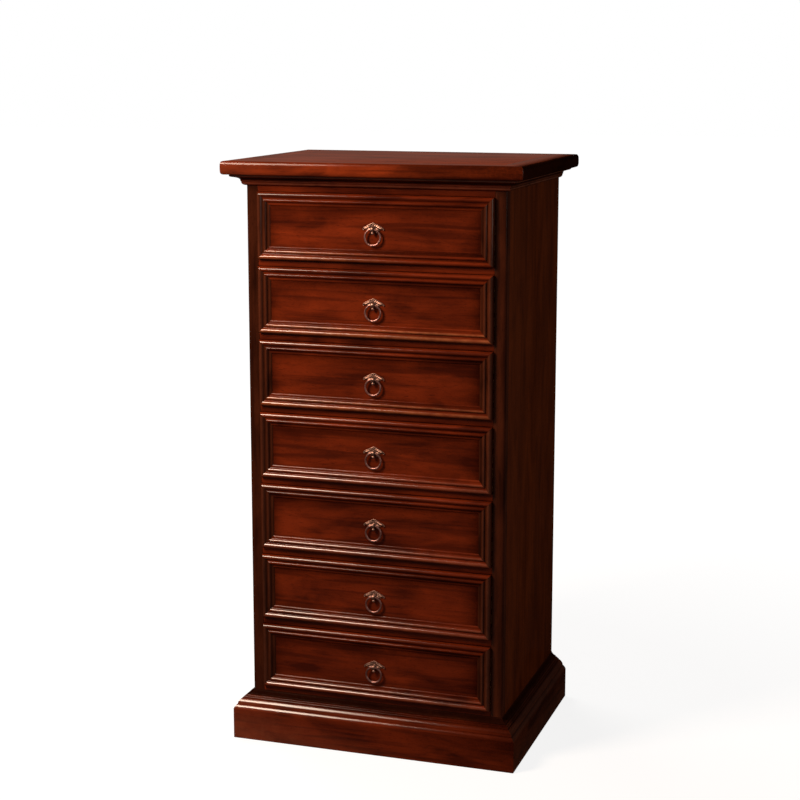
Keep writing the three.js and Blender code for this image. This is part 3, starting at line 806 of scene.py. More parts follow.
@dataclass
class TopBoard:
    """The top: a field with its grain across, and a mitred lipping with a bulging nose."""

    case: Carcass
    thickness: float = 0.028
    overhang: float = 0.042
    back_overhang: float = 0.008
    nose: float = 0.0085
    fullness: float = 3.3
    corner: float = 0.0030
    least_corner: float = 0.0004
    band_depth: float = 0.4
    band_at: float = 62.0
    band_width: float = 24.0
    lipping: float = 0.050
    joint: float = 0.0003
    # Painted light and shade on the nose: what is added to its relief at the left end and at the right end,
    # lighter at the left and darker at the right as the light falls off; corner_highlight paints a highlight
    # on its front right corner
    painted_falloff: Pair = (0.16, -0.46)
    corner_highlight: float = 0.26
    steps: int = 24
    corner_steps: int = 6

    # The material slots of the board
    FIELD, END_LIPPING, END_NOSE, FRONT_NOSE = range(4)

    def section(self) -> np.ndarray:
        """The board's section, from the middle of its underside round the nose to its upper joint.

        The nose is a half round drawn square by a power: out is the cosine and up the sine of an
        angle, each raised to 2 over the fullness. Old polish lies in a soft band over its upper half, at
        an angle and over a width in degrees.

        Returns:
            Rows of projection, height and relief.
        """
        angle = np.radians(np.linspace(-90, 90, self.steps + 1))
        power = 2 / self.fullness
        out = self.overhang - self.nose + self.nose * np.abs(np.cos(angle)) ** power
        half = self.thickness / 2
        up = self.case.top_z + half + half * np.sign(np.sin(angle)) * np.abs(np.sin(angle)) ** power
        relief = FLAT - self.band_depth * np.exp(-((np.degrees(angle) - self.band_at) / self.band_width) ** 2)
        inner, high = self.overhang - self.lipping, self.case.top_z + self.thickness
        joint = [(inner + self.joint, high, FLAT), (inner, high - self.joint, RECESS),
                 (inner - self.joint, high, FLAT)]
        return np.vstack([np.column_stack([out, up, relief]), joint])

    def outline(self, out: float) -> np.ndarray:
        """The board in plan at one projection: square at the back, its front corners rounded.

        Args:
            out: how far the outline stands out from the carcass.

        Returns:
            The points, from the right back corner round the front to the left back corner.
        """
        radius = max(self.corner - (self.overhang - out), self.least_corner)
        rear = self.case.back_y + self.back_overhang
        half, front = self.case.half_width + out, self.case.front_y - out
        right = arc((half - radius, front + radius), radius, 0, -90, self.corner_steps)
        left = right[::-1] * (-1, 1)
        return np.vstack([[(half, rear)], right, left, [(-half, rear)]])

    def build(self) -> None:
        """Makes the board in one skin, its lipping and field told apart by their grain."""
        section = self.section()
        rows = [np.column_stack([plan, np.full(len(plan), up)])
                for plan, up in ((self.outline(out), up) for out, up, _ in section)]
        points = np.stack(rows)
        mitre = self.corner_steps // 2
        slots = np.full((len(rows) - 1, points.shape[1]), self.FIELD)
        slots[:, :mitre + 1] = slots[:, -mitre - 2:-1] = self.END_LIPPING
        slots[:self.steps, :mitre + 1] = slots[:self.steps, -mitre - 2:-1] = self.END_NOSE
        slots[:self.steps, mitre + 1:-mitre - 2] = self.FRONT_NOSE
        # Painted light and shade: the nose lightened at the left, darkened at the right, and lightened at its
        # front right corner as a painted highlight
        painted_lean = np.where(points[0, :, 0] < 0, *self.painted_falloff)
        painted_lean[mitre + 1] = self.corner_highlight
        on_nose = (np.arange(len(rows)) <= self.steps)[:, None]
        relief = np.clip(section[:, 2, None] + painted_lean * on_nose, RECESS, CREST)
        made = self.case.finishes.of
        # The front of the nose has the lighter copy of the polish as painted light, and its ends the darker
        # copy as painted shade
        materials = [made(TOP), made(TOP, Grain.DEEP), made(STAIN, Grain.DEEP), made(LIT_NOSE)]
        self.case.piece("top_board_lipped", [Shell(points, slots, relief=relief)], materials, "top_board")


@dataclass
class BedMoulding:
    """The moulding under the top board: an ovolo, a small step and a hollow up to the lip."""

    case: Carcass
    height: float = 0.023
    projection: float = 0.027
    steps: int = 6

    def section(self) -> np.ndarray:
        """The section, from its lower tip up to the lip and back along the carcass, drawn in millimetres.

        Returns:
            Rows of projection, height and relief, in metres.
        """
        bottom, top = self.case.top_z - self.height, self.case.top_z - self.case.glue_gap
        ovolo = curve_through([(1.3, 0.0, 0.2), (4.6, 1.2, FLAT), (7.2, 3.8, CREST), (8.0, 7.2, FLAT)],
                              self.steps)
        hollow = curve_through([(9.2, 8.2, CREST), (9.4, 11.2, 0.3), (11.6, 14.2, RECESS), (16.6, 16.4, 0.2),
                                (24.4, 18.0, FLAT)], self.steps)
        face = np.vstack([ovolo, [(8.0, 8.2, RECESS)], hollow, [(25.0, 18.0, RECESS), (25.0, 18.6, FLAT),
                          (26.6, 18.9, CREST), (27.0, 19.6, CREST)]])
        face[:, 0] *= MM
        face[:, 1] = bottom + face[:, 1] * MM
        lip = [(self.projection, top, FLAT), (0.0, top, RECESS), (0.0, bottom, RECESS)]
        return np.vstack([face, lip])

    def build(self) -> None:
        """Runs the moulding round the case."""
        self.case.three_ways("top_moulding", self.section(), self.case.finishes.of(POLISH))


@dataclass
class Uprights:
    """The two sides with their guides, and the stiles in front of them."""

    case: Carcass
    stile_width: float = 0.025
    stile_depth: float = 0.022
    # Painted light and shade on the stiles: their relief, lower on the left one to darken it and higher on
    # the right one to lighten it
    stile_light_and_shade: Pair = (0.36, 0.62)
    corner_relief: float = 0.3
    corner_radius: float = 0.005
    ease: float = 0.0008
    rebate: float = 0.010
    guide_height: float = 0.014
    guide_setback: float = 0.014
    guide_back: float = 0.030
    guide_ease: float = 0.001
    ease_steps: int = 3
    corner_steps: int = 8

    # The material slots of a side
    SKIN, BOARD, GUIDE = range(3)

    def stile_outline(self, side: int) -> np.ndarray:
        """A stile in plan: a rectangle whose outer front corner is a quarter round.

        Args:
            side: -1 for the left, 1 for the right.

        Returns:
            The points of the outline, going round once.
        """
        inner, outer = self.case.half_width - self.stile_width, self.case.half_width
        front, back = self.case.front_y, self.case.front_y + self.stile_depth
        ease, radius = self.ease, self.corner_radius
        points = np.vstack([arc((inner + ease, front + ease), ease, -180, -90, self.ease_steps),
                            arc((outer - radius, front + radius), radius, -90, 0, self.corner_steps),
                            [(outer, back), (inner, back)]])
        return points * (side, 1)

    def build(self) -> None:
        """Makes the stiles, sides and drawer guides."""
        for side, word in SIDES:
            self.stile(side, word)
            self.side(side, word)

    def stile(self, side: int, word: str) -> None:
        """Makes one stile.

        Args:
            side: -1 for the left, 1 for the right.
            word: the side's name.
        """
        case, corner = self.case, self.ease_steps + 1
        shell = prism(self.stile_outline(side), 2, case.base_z, case.top_z - case.glue_gap)
        # Painted shade on the left stile and painted light on the right one, through their relief
        shell.relief = np.full((1, shell.points.shape[1]), self.stile_light_and_shade[side > 0])
        shell.relief[0, corner:corner + self.corner_steps] = self.corner_relief
        stain_and_shade = case.finishes.of(STAIN, Grain.UPRIGHT)
        case.piece(f"{word}_stile_rounded", [shell], [stain_and_shade], f"{word}_stile")

    def side(self, side: int, word: str) -> None:
        """Makes one side: an outer skin in polish, a plain inner board, and a guide beside each drawer.

        Args:
            side: -1 for the left, 1 for the right.
            word: the side's name.
        """
        case = self.case
        front, back = case.front_y + self.stile_depth + case.glue_gap, case.back_y
        top = case.top_z - case.glue_gap
        middle = case.half_width - self.rebate
        inner = case.half_width - case.side_thickness
        low, high = (middle, front, case.base_z), (case.half_width, back, top)
        shells = [between(side, low, high, self.ease, self.SKIN)]
        low, high = (inner, front, case.base_z), (middle, back - self.rebate, top)
        shells.append(between(side, low, high, BARE_EASE, self.BOARD))
        guide_in = case.half_width - self.stile_width + case.glue_gap
        for number in range(1, case.drawers + 1):
            floor = case.opening_z(number)
            low = (guide_in, front + self.guide_setback, floor + case.glue_gap)
            high = (inner, back - self.guide_back, floor + self.guide_height)
            shells.append(between(side, low, high, self.guide_ease, self.GUIDE))
        made = case.finishes.of
        materials = [made(FLANK, Grain.UPRIGHT), made(PLAIN, Grain.UPRIGHT), made(PLAIN, Grain.DEEP)]
        case.piece(f"{word}_side_board", shells, materials, f"{word}_side")


def between(side: int, low: Triple, high: Triple, ease: float, finish: int) -> Shell:
    """A block on one side of the middle, given as it stands on the right.

    Args:
        side: -1 for the left, 1 for the right.
        low: the lowest corner on the right.
        high: the highest corner on the right.
        ease: the radius of its arrises.
        finish: the material slot.

    Returns:
        The shell of the block.
    """
    ends = sorted((side * low[0], side * high[0]))
    return eased_block((ends[0], low[1], low[2]), (ends[1], high[1], high[2]), ease, finish)


@dataclass
class Base:
    """The moulded base board with its cove, and the plinth that it stands on."""

    case: Carcass
    plinth_height: float = 0.075
    plinth_thickness: float = 0.020
    plinth_projection: float = 0.034
    plinth_round: Pair = (0.0070, 0.0092)
    round_power: float = 1.5
    round_crest: float = 0.14
    round_steps: int = 18
    # Painted light and shade on the front runs of the board and the plinth: what is added to their relief at
    # the left end and at the right end, lighter at the left and darker at the right as the light falls off
    painted_falloff: Pair = (0.2, -0.48)
    board_thickness: float = 0.019
    back_inset: float = 0.003
    ease: float = 0.0008
    steps: int = 6

    # The material slots of the base board
    FRONT, SIDE, INSIDE = range(3)

    def board_section(self) -> np.ndarray:
        """The base board's edge, from the bottom up: a long soft slope, a quirk, a swelling and a fillet.

        Returns:
            Rows of projection, height and relief, drawn in millimetres and returned in metres.
        """
        gap = self.case.glue_gap / MM
        top = self.board_thickness / MM - 2 * gap
        slope = curve_through([(27.0, 0.0, FLAT), (26.9, 1.2, 0.66), (26.1, 4.2, 0.66), (25.2, 6.2, 0.60),
                               (22.6, 9.2, 0.62), (20.2, 11.4, FLAT), (18.9, 11.9, 0.3)], self.steps)
        swell = curve_through([(18.2, 12.1, 0.1), (17.7, 13.4, 0.1), (16.7, 14.8, 0.3), (15.2, 15.6, 0.3)],
                              self.steps)
        fillet = [(13.9, 15.8, 0.1), (13.8, 16.9, 0.4), (13.3, 17.5, 0.45), (11.6, 17.9, 0.2),
                  (10.8, top, 0.1)]
        face = np.vstack([slope, swell, fillet])
        face[:, 1] = self.plinth_height / MM + gap + face[:, 1]
        face[:, :2] *= MM
        inner = -self.case.side_thickness
        return np.vstack([face, [(inner, face[-1, 1], FLAT), (inner, face[0, 1], FLAT)]])

    def cove_section(self) -> np.ndarray:
        """The cove: a small fillet at its foot, then a hollow that runs out on the carcass.

        Returns:
            Rows of projection, height and relief, drawn in millimetres and returned in metres.
        """
        hollow = curve_through([(9.9, 1.5, 0.2), (9.0, 2.1, 0.1), (7.2, 3.0, 0.05), (4.6, 4.6, RECESS),
                                (2.4, 7.0, RECESS), (0.9, 9.4, 0.1), (0.25, 11.0, 0.2)], self.steps)
        face = np.vstack([[(10.0, 0.0, RECESS), (10.0, 1.2, 0.3)], hollow])
        face[:, 1] += self.case.base_z / MM
        face[:, :2] *= MM
        return np.vstack([face, [(0.0, face[-1, 1], RECESS), (0.0, face[0, 1], RECESS)]])

    def plinth_section(self) -> np.ndarray:
        """The plinth board: upright, its upper outer edge rounded over flatly and its foot eased.

        The upper edge is a round drawn flat: the cosine and sine of its angle are raised to a power.

        Returns:
            Rows of projection, height and relief.
        """
        outer, ease = self.plinth_projection, self.ease
        inner = outer - self.plinth_thickness
        size = np.array(self.plinth_round)
        centre = (outer, self.plinth_height) - size
        unit = arc((0.0, 0.0), 1.0, 0, 90, self.round_steps).clip(0, 1)
        edge = unit ** self.round_power * size + centre
        relief = FLAT + self.round_crest * np.sin(np.linspace(0, np.pi, len(edge)))
        foot = [(inner, 0.0, FLAT), (outer - ease, 0.0, 0.8), (outer, ease, 0.8)]
        return np.vstack([foot, np.column_stack([edge, relief]), [(inner, self.plinth_height, FLAT)]])

    def build(self) -> None:
        """Makes the board, the cove, and the four plinth boards."""
        case, made, section = self.case, self.case.finishes.of, self.board_section()
        low, high = section[0, 1], section[:, 1].max()
        inner, front = case.half_width - case.side_thickness, case.front_y + case.side_thickness
        outline = np.array([(-inner, front), (inner, front), (inner, case.back_y), (-inner, case.back_y)])
        shells = [case.along_front(section, painted_falloff=self.painted_falloff), prism(outline, 2, low, high, self.INSIDE),
                  *[case.along_side(section, side, self.SIDE) for side in (-1, 1)]]
        # The board's sides have the darker copy of the polish: painted shade
        materials = [made(POLISH), made(STAIN, Grain.DEEP), made(PLAIN)]
        case.piece("base_board_moulded", shells, materials, "base_board")
        case.three_ways("base_cove", self.cove_section(), made(STAIN))
        case.three_ways("plinth", self.plinth_section(), made(POLISH), self.painted_falloff)
        half = case.half_width + self.plinth_projection - self.plinth_thickness - case.glue_gap
        rear = case.back_y - self.back_inset
        rail = eased_block((-half, rear - self.plinth_thickness, 0.0), (half, rear, self.plinth_height),
                           self.ease)
        case.piece("plinth_back_rail", [rail], [made(POLISH)], "plinth_back")


@dataclass
class Frames:
    """The frames under, between and over the drawers: polished rail, plain runners and dust panel."""

    case: Carcass
    rail_height: float = 0.0135
    top_rail_height: float = 0.035
    rail_depth: float = 0.060
    back_rail_depth: float = 0.040
    runner_width: float = 0.042
    back_setback: float = 0.014
    housing: float = 0.005
    panel_thickness: float = 0.004
    front_skin: float = 0.008
    ease: float = 0.0006

    # The material slots of a frame
    RAIL, BARE, RUNNER, PANEL = range(4)

    def build(self) -> None:
        """Makes the eight frames."""
        case = self.case
        inside = case.half_width - case.side_thickness - case.glue_gap
        self.frame("bottom_frame", case.base_z, case.opening_z(case.drawers), inside, case.base_z)
        top = case.top_z - case.glue_gap
        self.frame("top_frame", case.top_z - self.top_rail_height, top, inside, top - self.panel_thickness)
        for number in range(1, case.drawers):
            high = case.opening_z(number)
            middle = high - (self.rail_height + self.panel_thickness) / 2
            self.frame(f"dust_frame_{number}", high - self.rail_height, high, inside + self.housing, middle)

    def frame(self, node: str, low: float, high: float, half: float, panel: float) -> None:
        """Makes one frame.

        Args:
            node: the node that it stands for.
            low: its underside.
            high: its upper face.
            half: half its width behind the stiles.
            panel: the underside of its dust panel.
        """
        case = self.case
        front, back = case.front_y, case.back_y - self.back_setback
        skin, behind = front + self.front_skin, front + Uprights.stile_depth + 2 * case.glue_gap
        rail_half = case.half_width - Uprights.stile_width - case.glue_gap
        recess = case.half_width - case.side_thickness - self.runner_width
        rail_back, rear_front = front + self.rail_depth, back - self.back_rail_depth
        top = panel + self.panel_thickness
        bare = ((rail_half, skin, behind), (half, behind, rail_back), (half, rear_front, back))
        shells = [eased_block((-rail_half, front, low), (rail_half, skin, high), self.ease, self.RAIL),
                  *[eased_block((-wide, near, low), (wide, far, high), BARE_EASE, self.BARE)
                    for wide, near, far in bare],
                  eased_block((-recess, rail_back, panel), (recess, rear_front, top), BARE_EASE, self.PANEL),
                  *[between(side, (recess, rail_back, low), (half, rear_front, high), BARE_EASE, self.RUNNER)
                    for side in (-1, 1)]]
        made = case.finishes.of
        materials = [made(POLISH), made(PLAIN), made(PLAIN, Grain.DEEP), made(SHEET)]
        case.piece(node + "_joined", shells, materials, node)


@dataclass
class BackPanel:
    """The back panel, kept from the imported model, with the pins that hold it."""

    case: Carcass
    pin_radius: float = 0.0022
    pin_inset: float = 0.005
    pin_margin: float = 0.03
    pin_sides: int = 12
    rows: int = 7

    # A pin's head: its place on the axis, and its radius as a share
    PIN = ((-0.0006, 1.0), (0.0, 1.0), (0.0004, 0.8), (0.0007, 0.3))

    def build(self) -> None:
        """Gives the panel its finish and drives a row of pins along each side."""
        finishes = self.case.finishes
        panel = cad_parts["back_panel"]
        panel.data.materials.clear()
        panel.data.materials.append(finishes.of(SHEET, Grain.UPRIGHT))
        log.info("back_panel")
        low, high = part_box("back_panel")
        profile = np.array(self.PIN) * (1, self.pin_radius)
        pins = [turned(profile, (side * (high.x - self.pin_inset), high.y, place), 1, self.pin_sides)
                for place in np.linspace(low.z + self.pin_margin, high.z - self.pin_margin, self.rows)
                for side in (-1, 1)]
        solid("back_panel_pins", pins, [finishes.of(BRASS)], "carcass", "aged_brass")


@dataclass
class BoxJoint:
    """The half-blind dovetails between a drawer's front and the sides of its box."""

    half_box: float = 0.2542
    side_thickness: float = 0.012
    side_height: float = 0.120
    running_clearance: float = 0.0004
    count: int = 4
    length: float = 0.0097
    root_share: float = 0.44
    tip_share: float = 0.66
    clearance: float = 0.0003

    @property
    def inner(self) -> float:
        """Half the clear width of the box."""
        return self.half_box - self.side_thickness

    def half_at(self, share: float, grow: float = 0.0) -> float:
        """Half the height of a tail at a share of its pitch."""
        return self.side_height / self.count * share / 2 + grow

    def middles(self, floor: float) -> np.ndarray:
        """The heights of the tails' middles."""
        return floor + self.running_clearance + (np.arange(self.count) + 0.5) * self.side_height / self.count


@dataclass
class DrawerFront:
    """A drawer front: a slab with a flat panel, framed by a mitred moulding."""

    case: Carcass
    joint: BoxJoint
    half_width: float = 0.25425
    height: float = 0.140
    clearance: float = 0.00075
    panel_proud: float = 0.0025
    lap: float = 0.0010
    moulding_back: float = 0.0022
    mitre_gap: float = 0.00008
    moulding_width: float = 0.028
    pinch: float = 1.2
    bead_end: float = 0.012
    # Painted shade: what is added to the relief of the upper members at their right end, darkening them as
    # the light falls off
    right_shade: float = -0.24
    bold_steps: int = 14
    small_steps: int = 12
    fillet_steps: int = 3
    skin: float = 0.004
    steps: int = 5

    # The material slots of a front
    POLISHED, STAINED, BARE, HONEYED = range(4)
    # In millimetres: the radius of the bold bead and of the small one, the small one's middle, the height of
    # the quirk beside it, and the rise that would take its relief from 0 to 1
    BOLD, SMALL, SMALL_AT, QUIRK, SMALL_RISE = 5.5, 3.8, (16.9, 5.6), 6.4, 5.4
    # The angles between which the bold bead and the small one are drawn, in degrees
    BOLD_TURN, SMALL_TURN = (180, 40), (165, 5)
    # How far the bold bead and the rest stand out of the old polish, by whether the member runs across and
    # whether it is the upper or right one. This sets their gloss and how light their rubbed colour is,
    # following how strongly each member catches the light, so the lighter colour is partly a painted
    # highlight
    LIFTS = {(True, False): (0.95, 0.85), (True, True): (0.62, 0.0), (False, False): (0.3, 0.2),
             (False, True): (0.4, 0.35)}
    # How much of that the upper member's bold bead has, on each drawer from the top one down, following the
    # strength of its highlight: partly a painted highlight
    WORN_AND_LIT = (0.35, 0.35, 0.9, 0.85, 1.0, 0.8, 0.6)
    # The lower members in the golden glint finish, one for each drawer from the top one down: what is added
    # to the relief at the right end, painted shade as the light falls off
    GLINT_RIGHT_SHADE = (-0.50, -0.04, -0.14)
    # Where the panel's face is divided, from its edge inwards, in millimetres
    DIVISIONS = (0.3, 27.2, 28.4, 30.0, 33.0, 38.0, 45.0, 54.0, 66.0)
    # How much painted shade and old polish lies along the left, right, lower and upper border, and how far it
    # reaches: shade where the moulding shadows the panel at the top and left, old polish along the right
    BORDER_SHADE = ((0.36, 0.016), (0.48, 0.030), (0.15, 0.010), (0.40, 0.020))

    def moulding_section(self) -> np.ndarray:
        """The moulding, from its outer edge inwards: a bold bead, a smaller one, a hollow and a fillet.

        Both beads are rounds whose cosine and sine are raised to a power, so that the crest is a little
        pinched.

        Returns:
            Rows of inset, projection and relief, drawn in millimetres and returned in metres.
        """
        bold, small, quirk = self.BOLD, self.SMALL, self.QUIRK
        unit = arc((0.0, 0.0), 1.0, *self.BOLD_TURN, self.bold_steps)
        outer = bold + bold * np.sign(unit) * np.abs(unit) ** self.pinch
        unit = arc((0.0, 0.0), 1.0, *self.SMALL_TURN, self.small_steps)
        inner = self.SMALL_AT + small * np.sign(unit) * np.abs(unit) ** self.pinch
        rows = [np.column_stack([outer, FLAT + (outer[:, 1] - bold) / (2 * bold)]),
                curve_through([(10.2, 8.0, FLAT), (11.2, 7.0, 0.45), (12.4, 6.6, 0.4), (13.1, 6.4, 0.4)],
                              self.steps),
                np.column_stack([inner, FLAT + (inner[:, 1] - quirk) / self.SMALL_RISE]),
                curve_through([(21.0, 5.4, 0.35), (22.0, 4.8, 0.3), (23.6, 4.5, 0.3), (25.2, 4.6, 0.4)],
                              self.steps),
                curve_through([(25.9, 4.4, 0.45), (26.8, 3.9, 0.5), (27.5, 3.3, 0.45), (27.9, 2.8, 0.3),
                               (28.0, 2.2, 0.1)], self.fillet_steps)]
        face = np.vstack([np.asarray(row, float) for row in rows])
        face[:, :2] *= MM
        back = [(face[-1, 0], self.moulding_back, RECESS), (0.0, self.moulding_back, RECESS)]
        return np.vstack([face, back])

    def member(self, section: np.ndarray, across: bool, side: int, floor: float, worn_and_lit: float = 1.0,
               painted_lean: float = 0.0, finish: int = 0) -> Shell:
        """One of the four mitred members.

        Each end row is the section moved in by its inset along both edges.

        Args:
            section: rows of inset, projection and relief.
            across: whether the member runs across, as the upper and lower ones do.
            side: 1 for the upper or right member, -1 for the lower or left one.
            floor: the height of the opening's floor.
            worn_and_lit: how much of its usual rubbing and gloss the bold bead has, as a share; its lighter
                colour is partly a painted highlight.
            painted_lean: what is added to the relief at the right or upper end, painting shade there as the
                light falls off.
            finish: the material slot.

        Returns:
            The shell of the member.
        """
        inset, out, relief = section.T
        bold, small = self.LIFTS[across, side > 0]
        lift = np.where(inset < self.bead_end, bold * worn_and_lit, small)
        relief = np.where(relief > FLAT, FLAT + lift * (relief - FLAT), relief)
        half_height = self.height / 2
        middle = floor + self.clearance + half_height
        gap = self.mitre_gap
        rows = []
        for end in (-1, 1):
            if across:
                place = (end * (self.half_width - inset - gap), middle + side * (half_height - inset))
            else:
                place = (side * (self.half_width - inset), middle + end * (half_height - inset - gap))
            rows.append(np.column_stack([place[0], self.case.front_y - out, place[1]]))
        relief = np.clip(np.stack([relief, relief + painted_lean]), RECESS, CREST)
        return Shell(np.stack(rows), finish, relief=relief)

    def panel(self, floor: float) -> Shell:
        """The slab's front skin, its face divided so that its relief can fall off towards the border, which
        paints shade and old polish there.

        The relief is flat less the greatest of four terms, one for each border: a share times the
        exponential of minus the distance over its reach.

        Args:
            floor: the height of the opening's floor.

        Returns:
            The shell of the skin.
        """
        inset = np.array(self.DIVISIONS) * MM
        half, rise = self.half_width, self.height / 2
        across = np.concatenate([inset - half, [0.0], half - inset[::-1]])
        up = np.concatenate([inset - rise, rise - inset[::-1]])
        x, z = np.meshgrid(across, up, indexing="ij")
        inside = [distance - self.moulding_width for distance in (half + x, half - x, rise + z, rise - z)]
        packed = np.max([share * np.exp(-distance.clip(0) / reach)
                         for distance, (share, reach) in zip(inside, self.BORDER_SHADE)], 0)
        middle = floor + self.clearance + rise
        front = np.stack([x, np.full_like(x, self.case.front_y - self.panel_proud), z + middle], -1)
        rear = front[:, [-1, 0]]
        rear[..., 1] = self.case.front_y + self.lap
        relief = np.concatenate([FLAT - packed, np.full((len(across), 2), RECESS)], 1)
        return Shell(np.concatenate([front, rear], 1), relief=relief)

    def pins(self, side: int, floor: float, lap: float, back: float) -> list[Shell]:
        """What the sockets leave of the slab's end, between and beside the tails.

        Args:
            side: -1 for the left, 1 for the right.
            floor: the height of the opening's floor.
            lap: where the sockets end, inside the slab.
            back: the back of the slab.

        Returns:
            One shell for each pin.
        """
        joint, low = self.joint, floor + self.clearance
        high = low + self.height
        root, tip = (joint.half_at(share, joint.clearance) for share in (joint.root_share, joint.tip_share))
        middles = joint.middles(floor)
        feet = [(low, low), *((z + tip, z + root) for z in middles)]
        heads = [*((z - tip, z - root) for z in middles), (high, high)]
        inner = joint.inner - joint.clearance
        start, end = sorted((side * inner, side * self.half_width))
        outlines = [np.array([(lap, foot[0]), (back, foot[1]), (back, head[1]), (lap, head[0])])
                    for foot, head in zip(feet, heads)]
        return [prism(outline, 0, start, end) for outline in outlines]

    def build(self, number: int) -> None:
        """Makes the moulding and the slab of one drawer front.

        Args:
            number: the drawer's number, counted from the top.
        """
        floor, section = self.case.opening_z(number), self.moulding_section()
        honey = number <= len(self.GLINT_RIGHT_SHADE)
        painted_lean = self.GLINT_RIGHT_SHADE[number - 1] if honey else 0.0
        lower = self.HONEYED if honey else self.POLISHED
        # The upright members have the darker copy of the polish as painted shade, as they turn from the light
        # above
        shells = [self.member(section, True, -1, floor, painted_lean=painted_lean, finish=lower),
                  self.member(section, True, 1, floor, self.WORN_AND_LIT[number - 1], self.right_shade),
                  *[self.member(section, False, side, floor, finish=self.STAINED) for side in (-1, 1)]]
        low = floor + self.clearance
        high = low + self.height
        lap, back = self.case.front_y + self.lap, self.case.front_y + self.case.slab_depth
        edge = lap + self.skin
        inner = self.joint.inner - self.joint.clearance
        shells += [self.panel(floor),
                   # The front strip of the slab, seen only in the gaps round the moulding, has a recess
                   # relief that paints it dark as shade
                   replace(eased_block((-inner, lap, low), (inner, edge, high), BARE_EASE), relief=RECESS),
                   eased_block((-inner, edge, low), (inner, back, high), BARE_EASE, self.BARE)]
        shells += [pin for side in (-1, 1) for pin in self.pins(side, floor, lap, back)]
        made, drawer = self.case.finishes.of, f"drawer_{number}"
        materials = [made(POLISH), made(STAIN, Grain.UPRIGHT), made(PLAIN), made(HONEY)]
        solid(f"drawer_front_{number}", shells, materials, drawer, "polished_wood", drawer + "_front")


@dataclass
class DrawerBox:
    """The box of a drawer: two sides with rounded tops, a lower back and a thin bottom."""

    case: Carcass
    joint: BoxJoint
    shoulder_gap: float = 0.0003
    back_at: float = 0.410
    back_thickness: float = 0.012
    back_drop: float = 0.008
    groove_low: float = 0.0104
    bottom_thickness: float = 0.005
    top_round: float = 0.003
    back_ease: float = 0.0015
    sheet_ease: float = 0.0003
    round_steps: int = 5

    # The material slots of the box
    SIDE, BACK = range(2)

    def side_outline(self, side: int, low: float, high: float) -> np.ndarray:
        """A box side seen from the front: a rectangle whose upper arrises are rounded.

        Args:
            side: -1 for the left, 1 for the right.
            low: its lower edge.
            high: its upper edge.

        Returns:
            The points of the outline, going round once.
        """
        joint, radius = self.joint, self.top_round
        inner, outer = joint.inner, joint.half_box
        top = [arc((across, high - radius), radius, start, start + 90, self.round_steps)
               for across, start in ((outer - radius, 0), (inner + radius, 90))]
        return np.vstack([[(inner, low), (outer, low)], *top]) * (side, 1)

    def tails(self, side: int, floor: float, near: float, far: float) -> list[Shell]:
        """The tails on one side.

        Args:
            side: -1 for the left, 1 for the right.
            floor: the height of the opening's floor.
            near: where the tails start, at the board's end.
            far: where they end, inside the front.

        Returns:
            One shell for each tail.
        """
        joint = self.joint
        root, tip = joint.half_at(joint.root_share), joint.half_at(joint.tip_share)
        start, end = sorted((side * joint.inner, side * joint.half_box))
        outlines = [np.array([(far, z - tip), (near, z - root), (near, z + root), (far, z + tip)])
                    for z in joint.middles(floor)]
        return [prism(outline, 0, start, end) for outline in outlines]

    def build(self, number: int) -> None:
        """Makes the box and the bottom of one drawer.

        Args:
            number: the drawer's number, counted from the top.
        """
        joint, floor = self.joint, self.case.opening_z(number)
        low = floor + joint.running_clearance
        high = low + joint.side_height
        slab, rear = self.case.front_y + self.case.slab_depth, self.case.front_y + self.back_at
        shoulder = slab + self.shoulder_gap
        shells = []
        for side in (-1, 1):
            shells.append(prism(self.side_outline(side, low, high), 1, shoulder, rear, self.SIDE))
            shells += self.tails(side, floor, shoulder + joint.clearance, slab - joint.length)
        inner = joint.inner
        sheet_top = floor + self.groove_low + self.bottom_thickness + 2 * self.shoulder_gap / 3
        back_low = (-inner, rear - self.back_thickness, sheet_top)
        back_high = (inner, rear - self.shoulder_gap, high - self.back_drop)
        shells.append(eased_block(back_low, back_high, self.back_ease, self.BACK))
        made, drawer = self.case.finishes.of, f"drawer_{number}"
        solid(f"drawer_box_{number}", shells, [made(PLAIN, Grain.DEEP), made(PLAIN)], drawer, "drawer_wood",
              drawer + "_box")
        thin = floor + self.groove_low + self.shoulder_gap / 2
        sheet_high = (inner, rear, thin + self.bottom_thickness)
        sheet = eased_block((-inner, slab, thin), sheet_high, self.sheet_ease)
        solid(f"drawer_bottom_{number}", [sheet], [made(SHEET)], drawer, "sheet_wood", drawer + "_bottom")


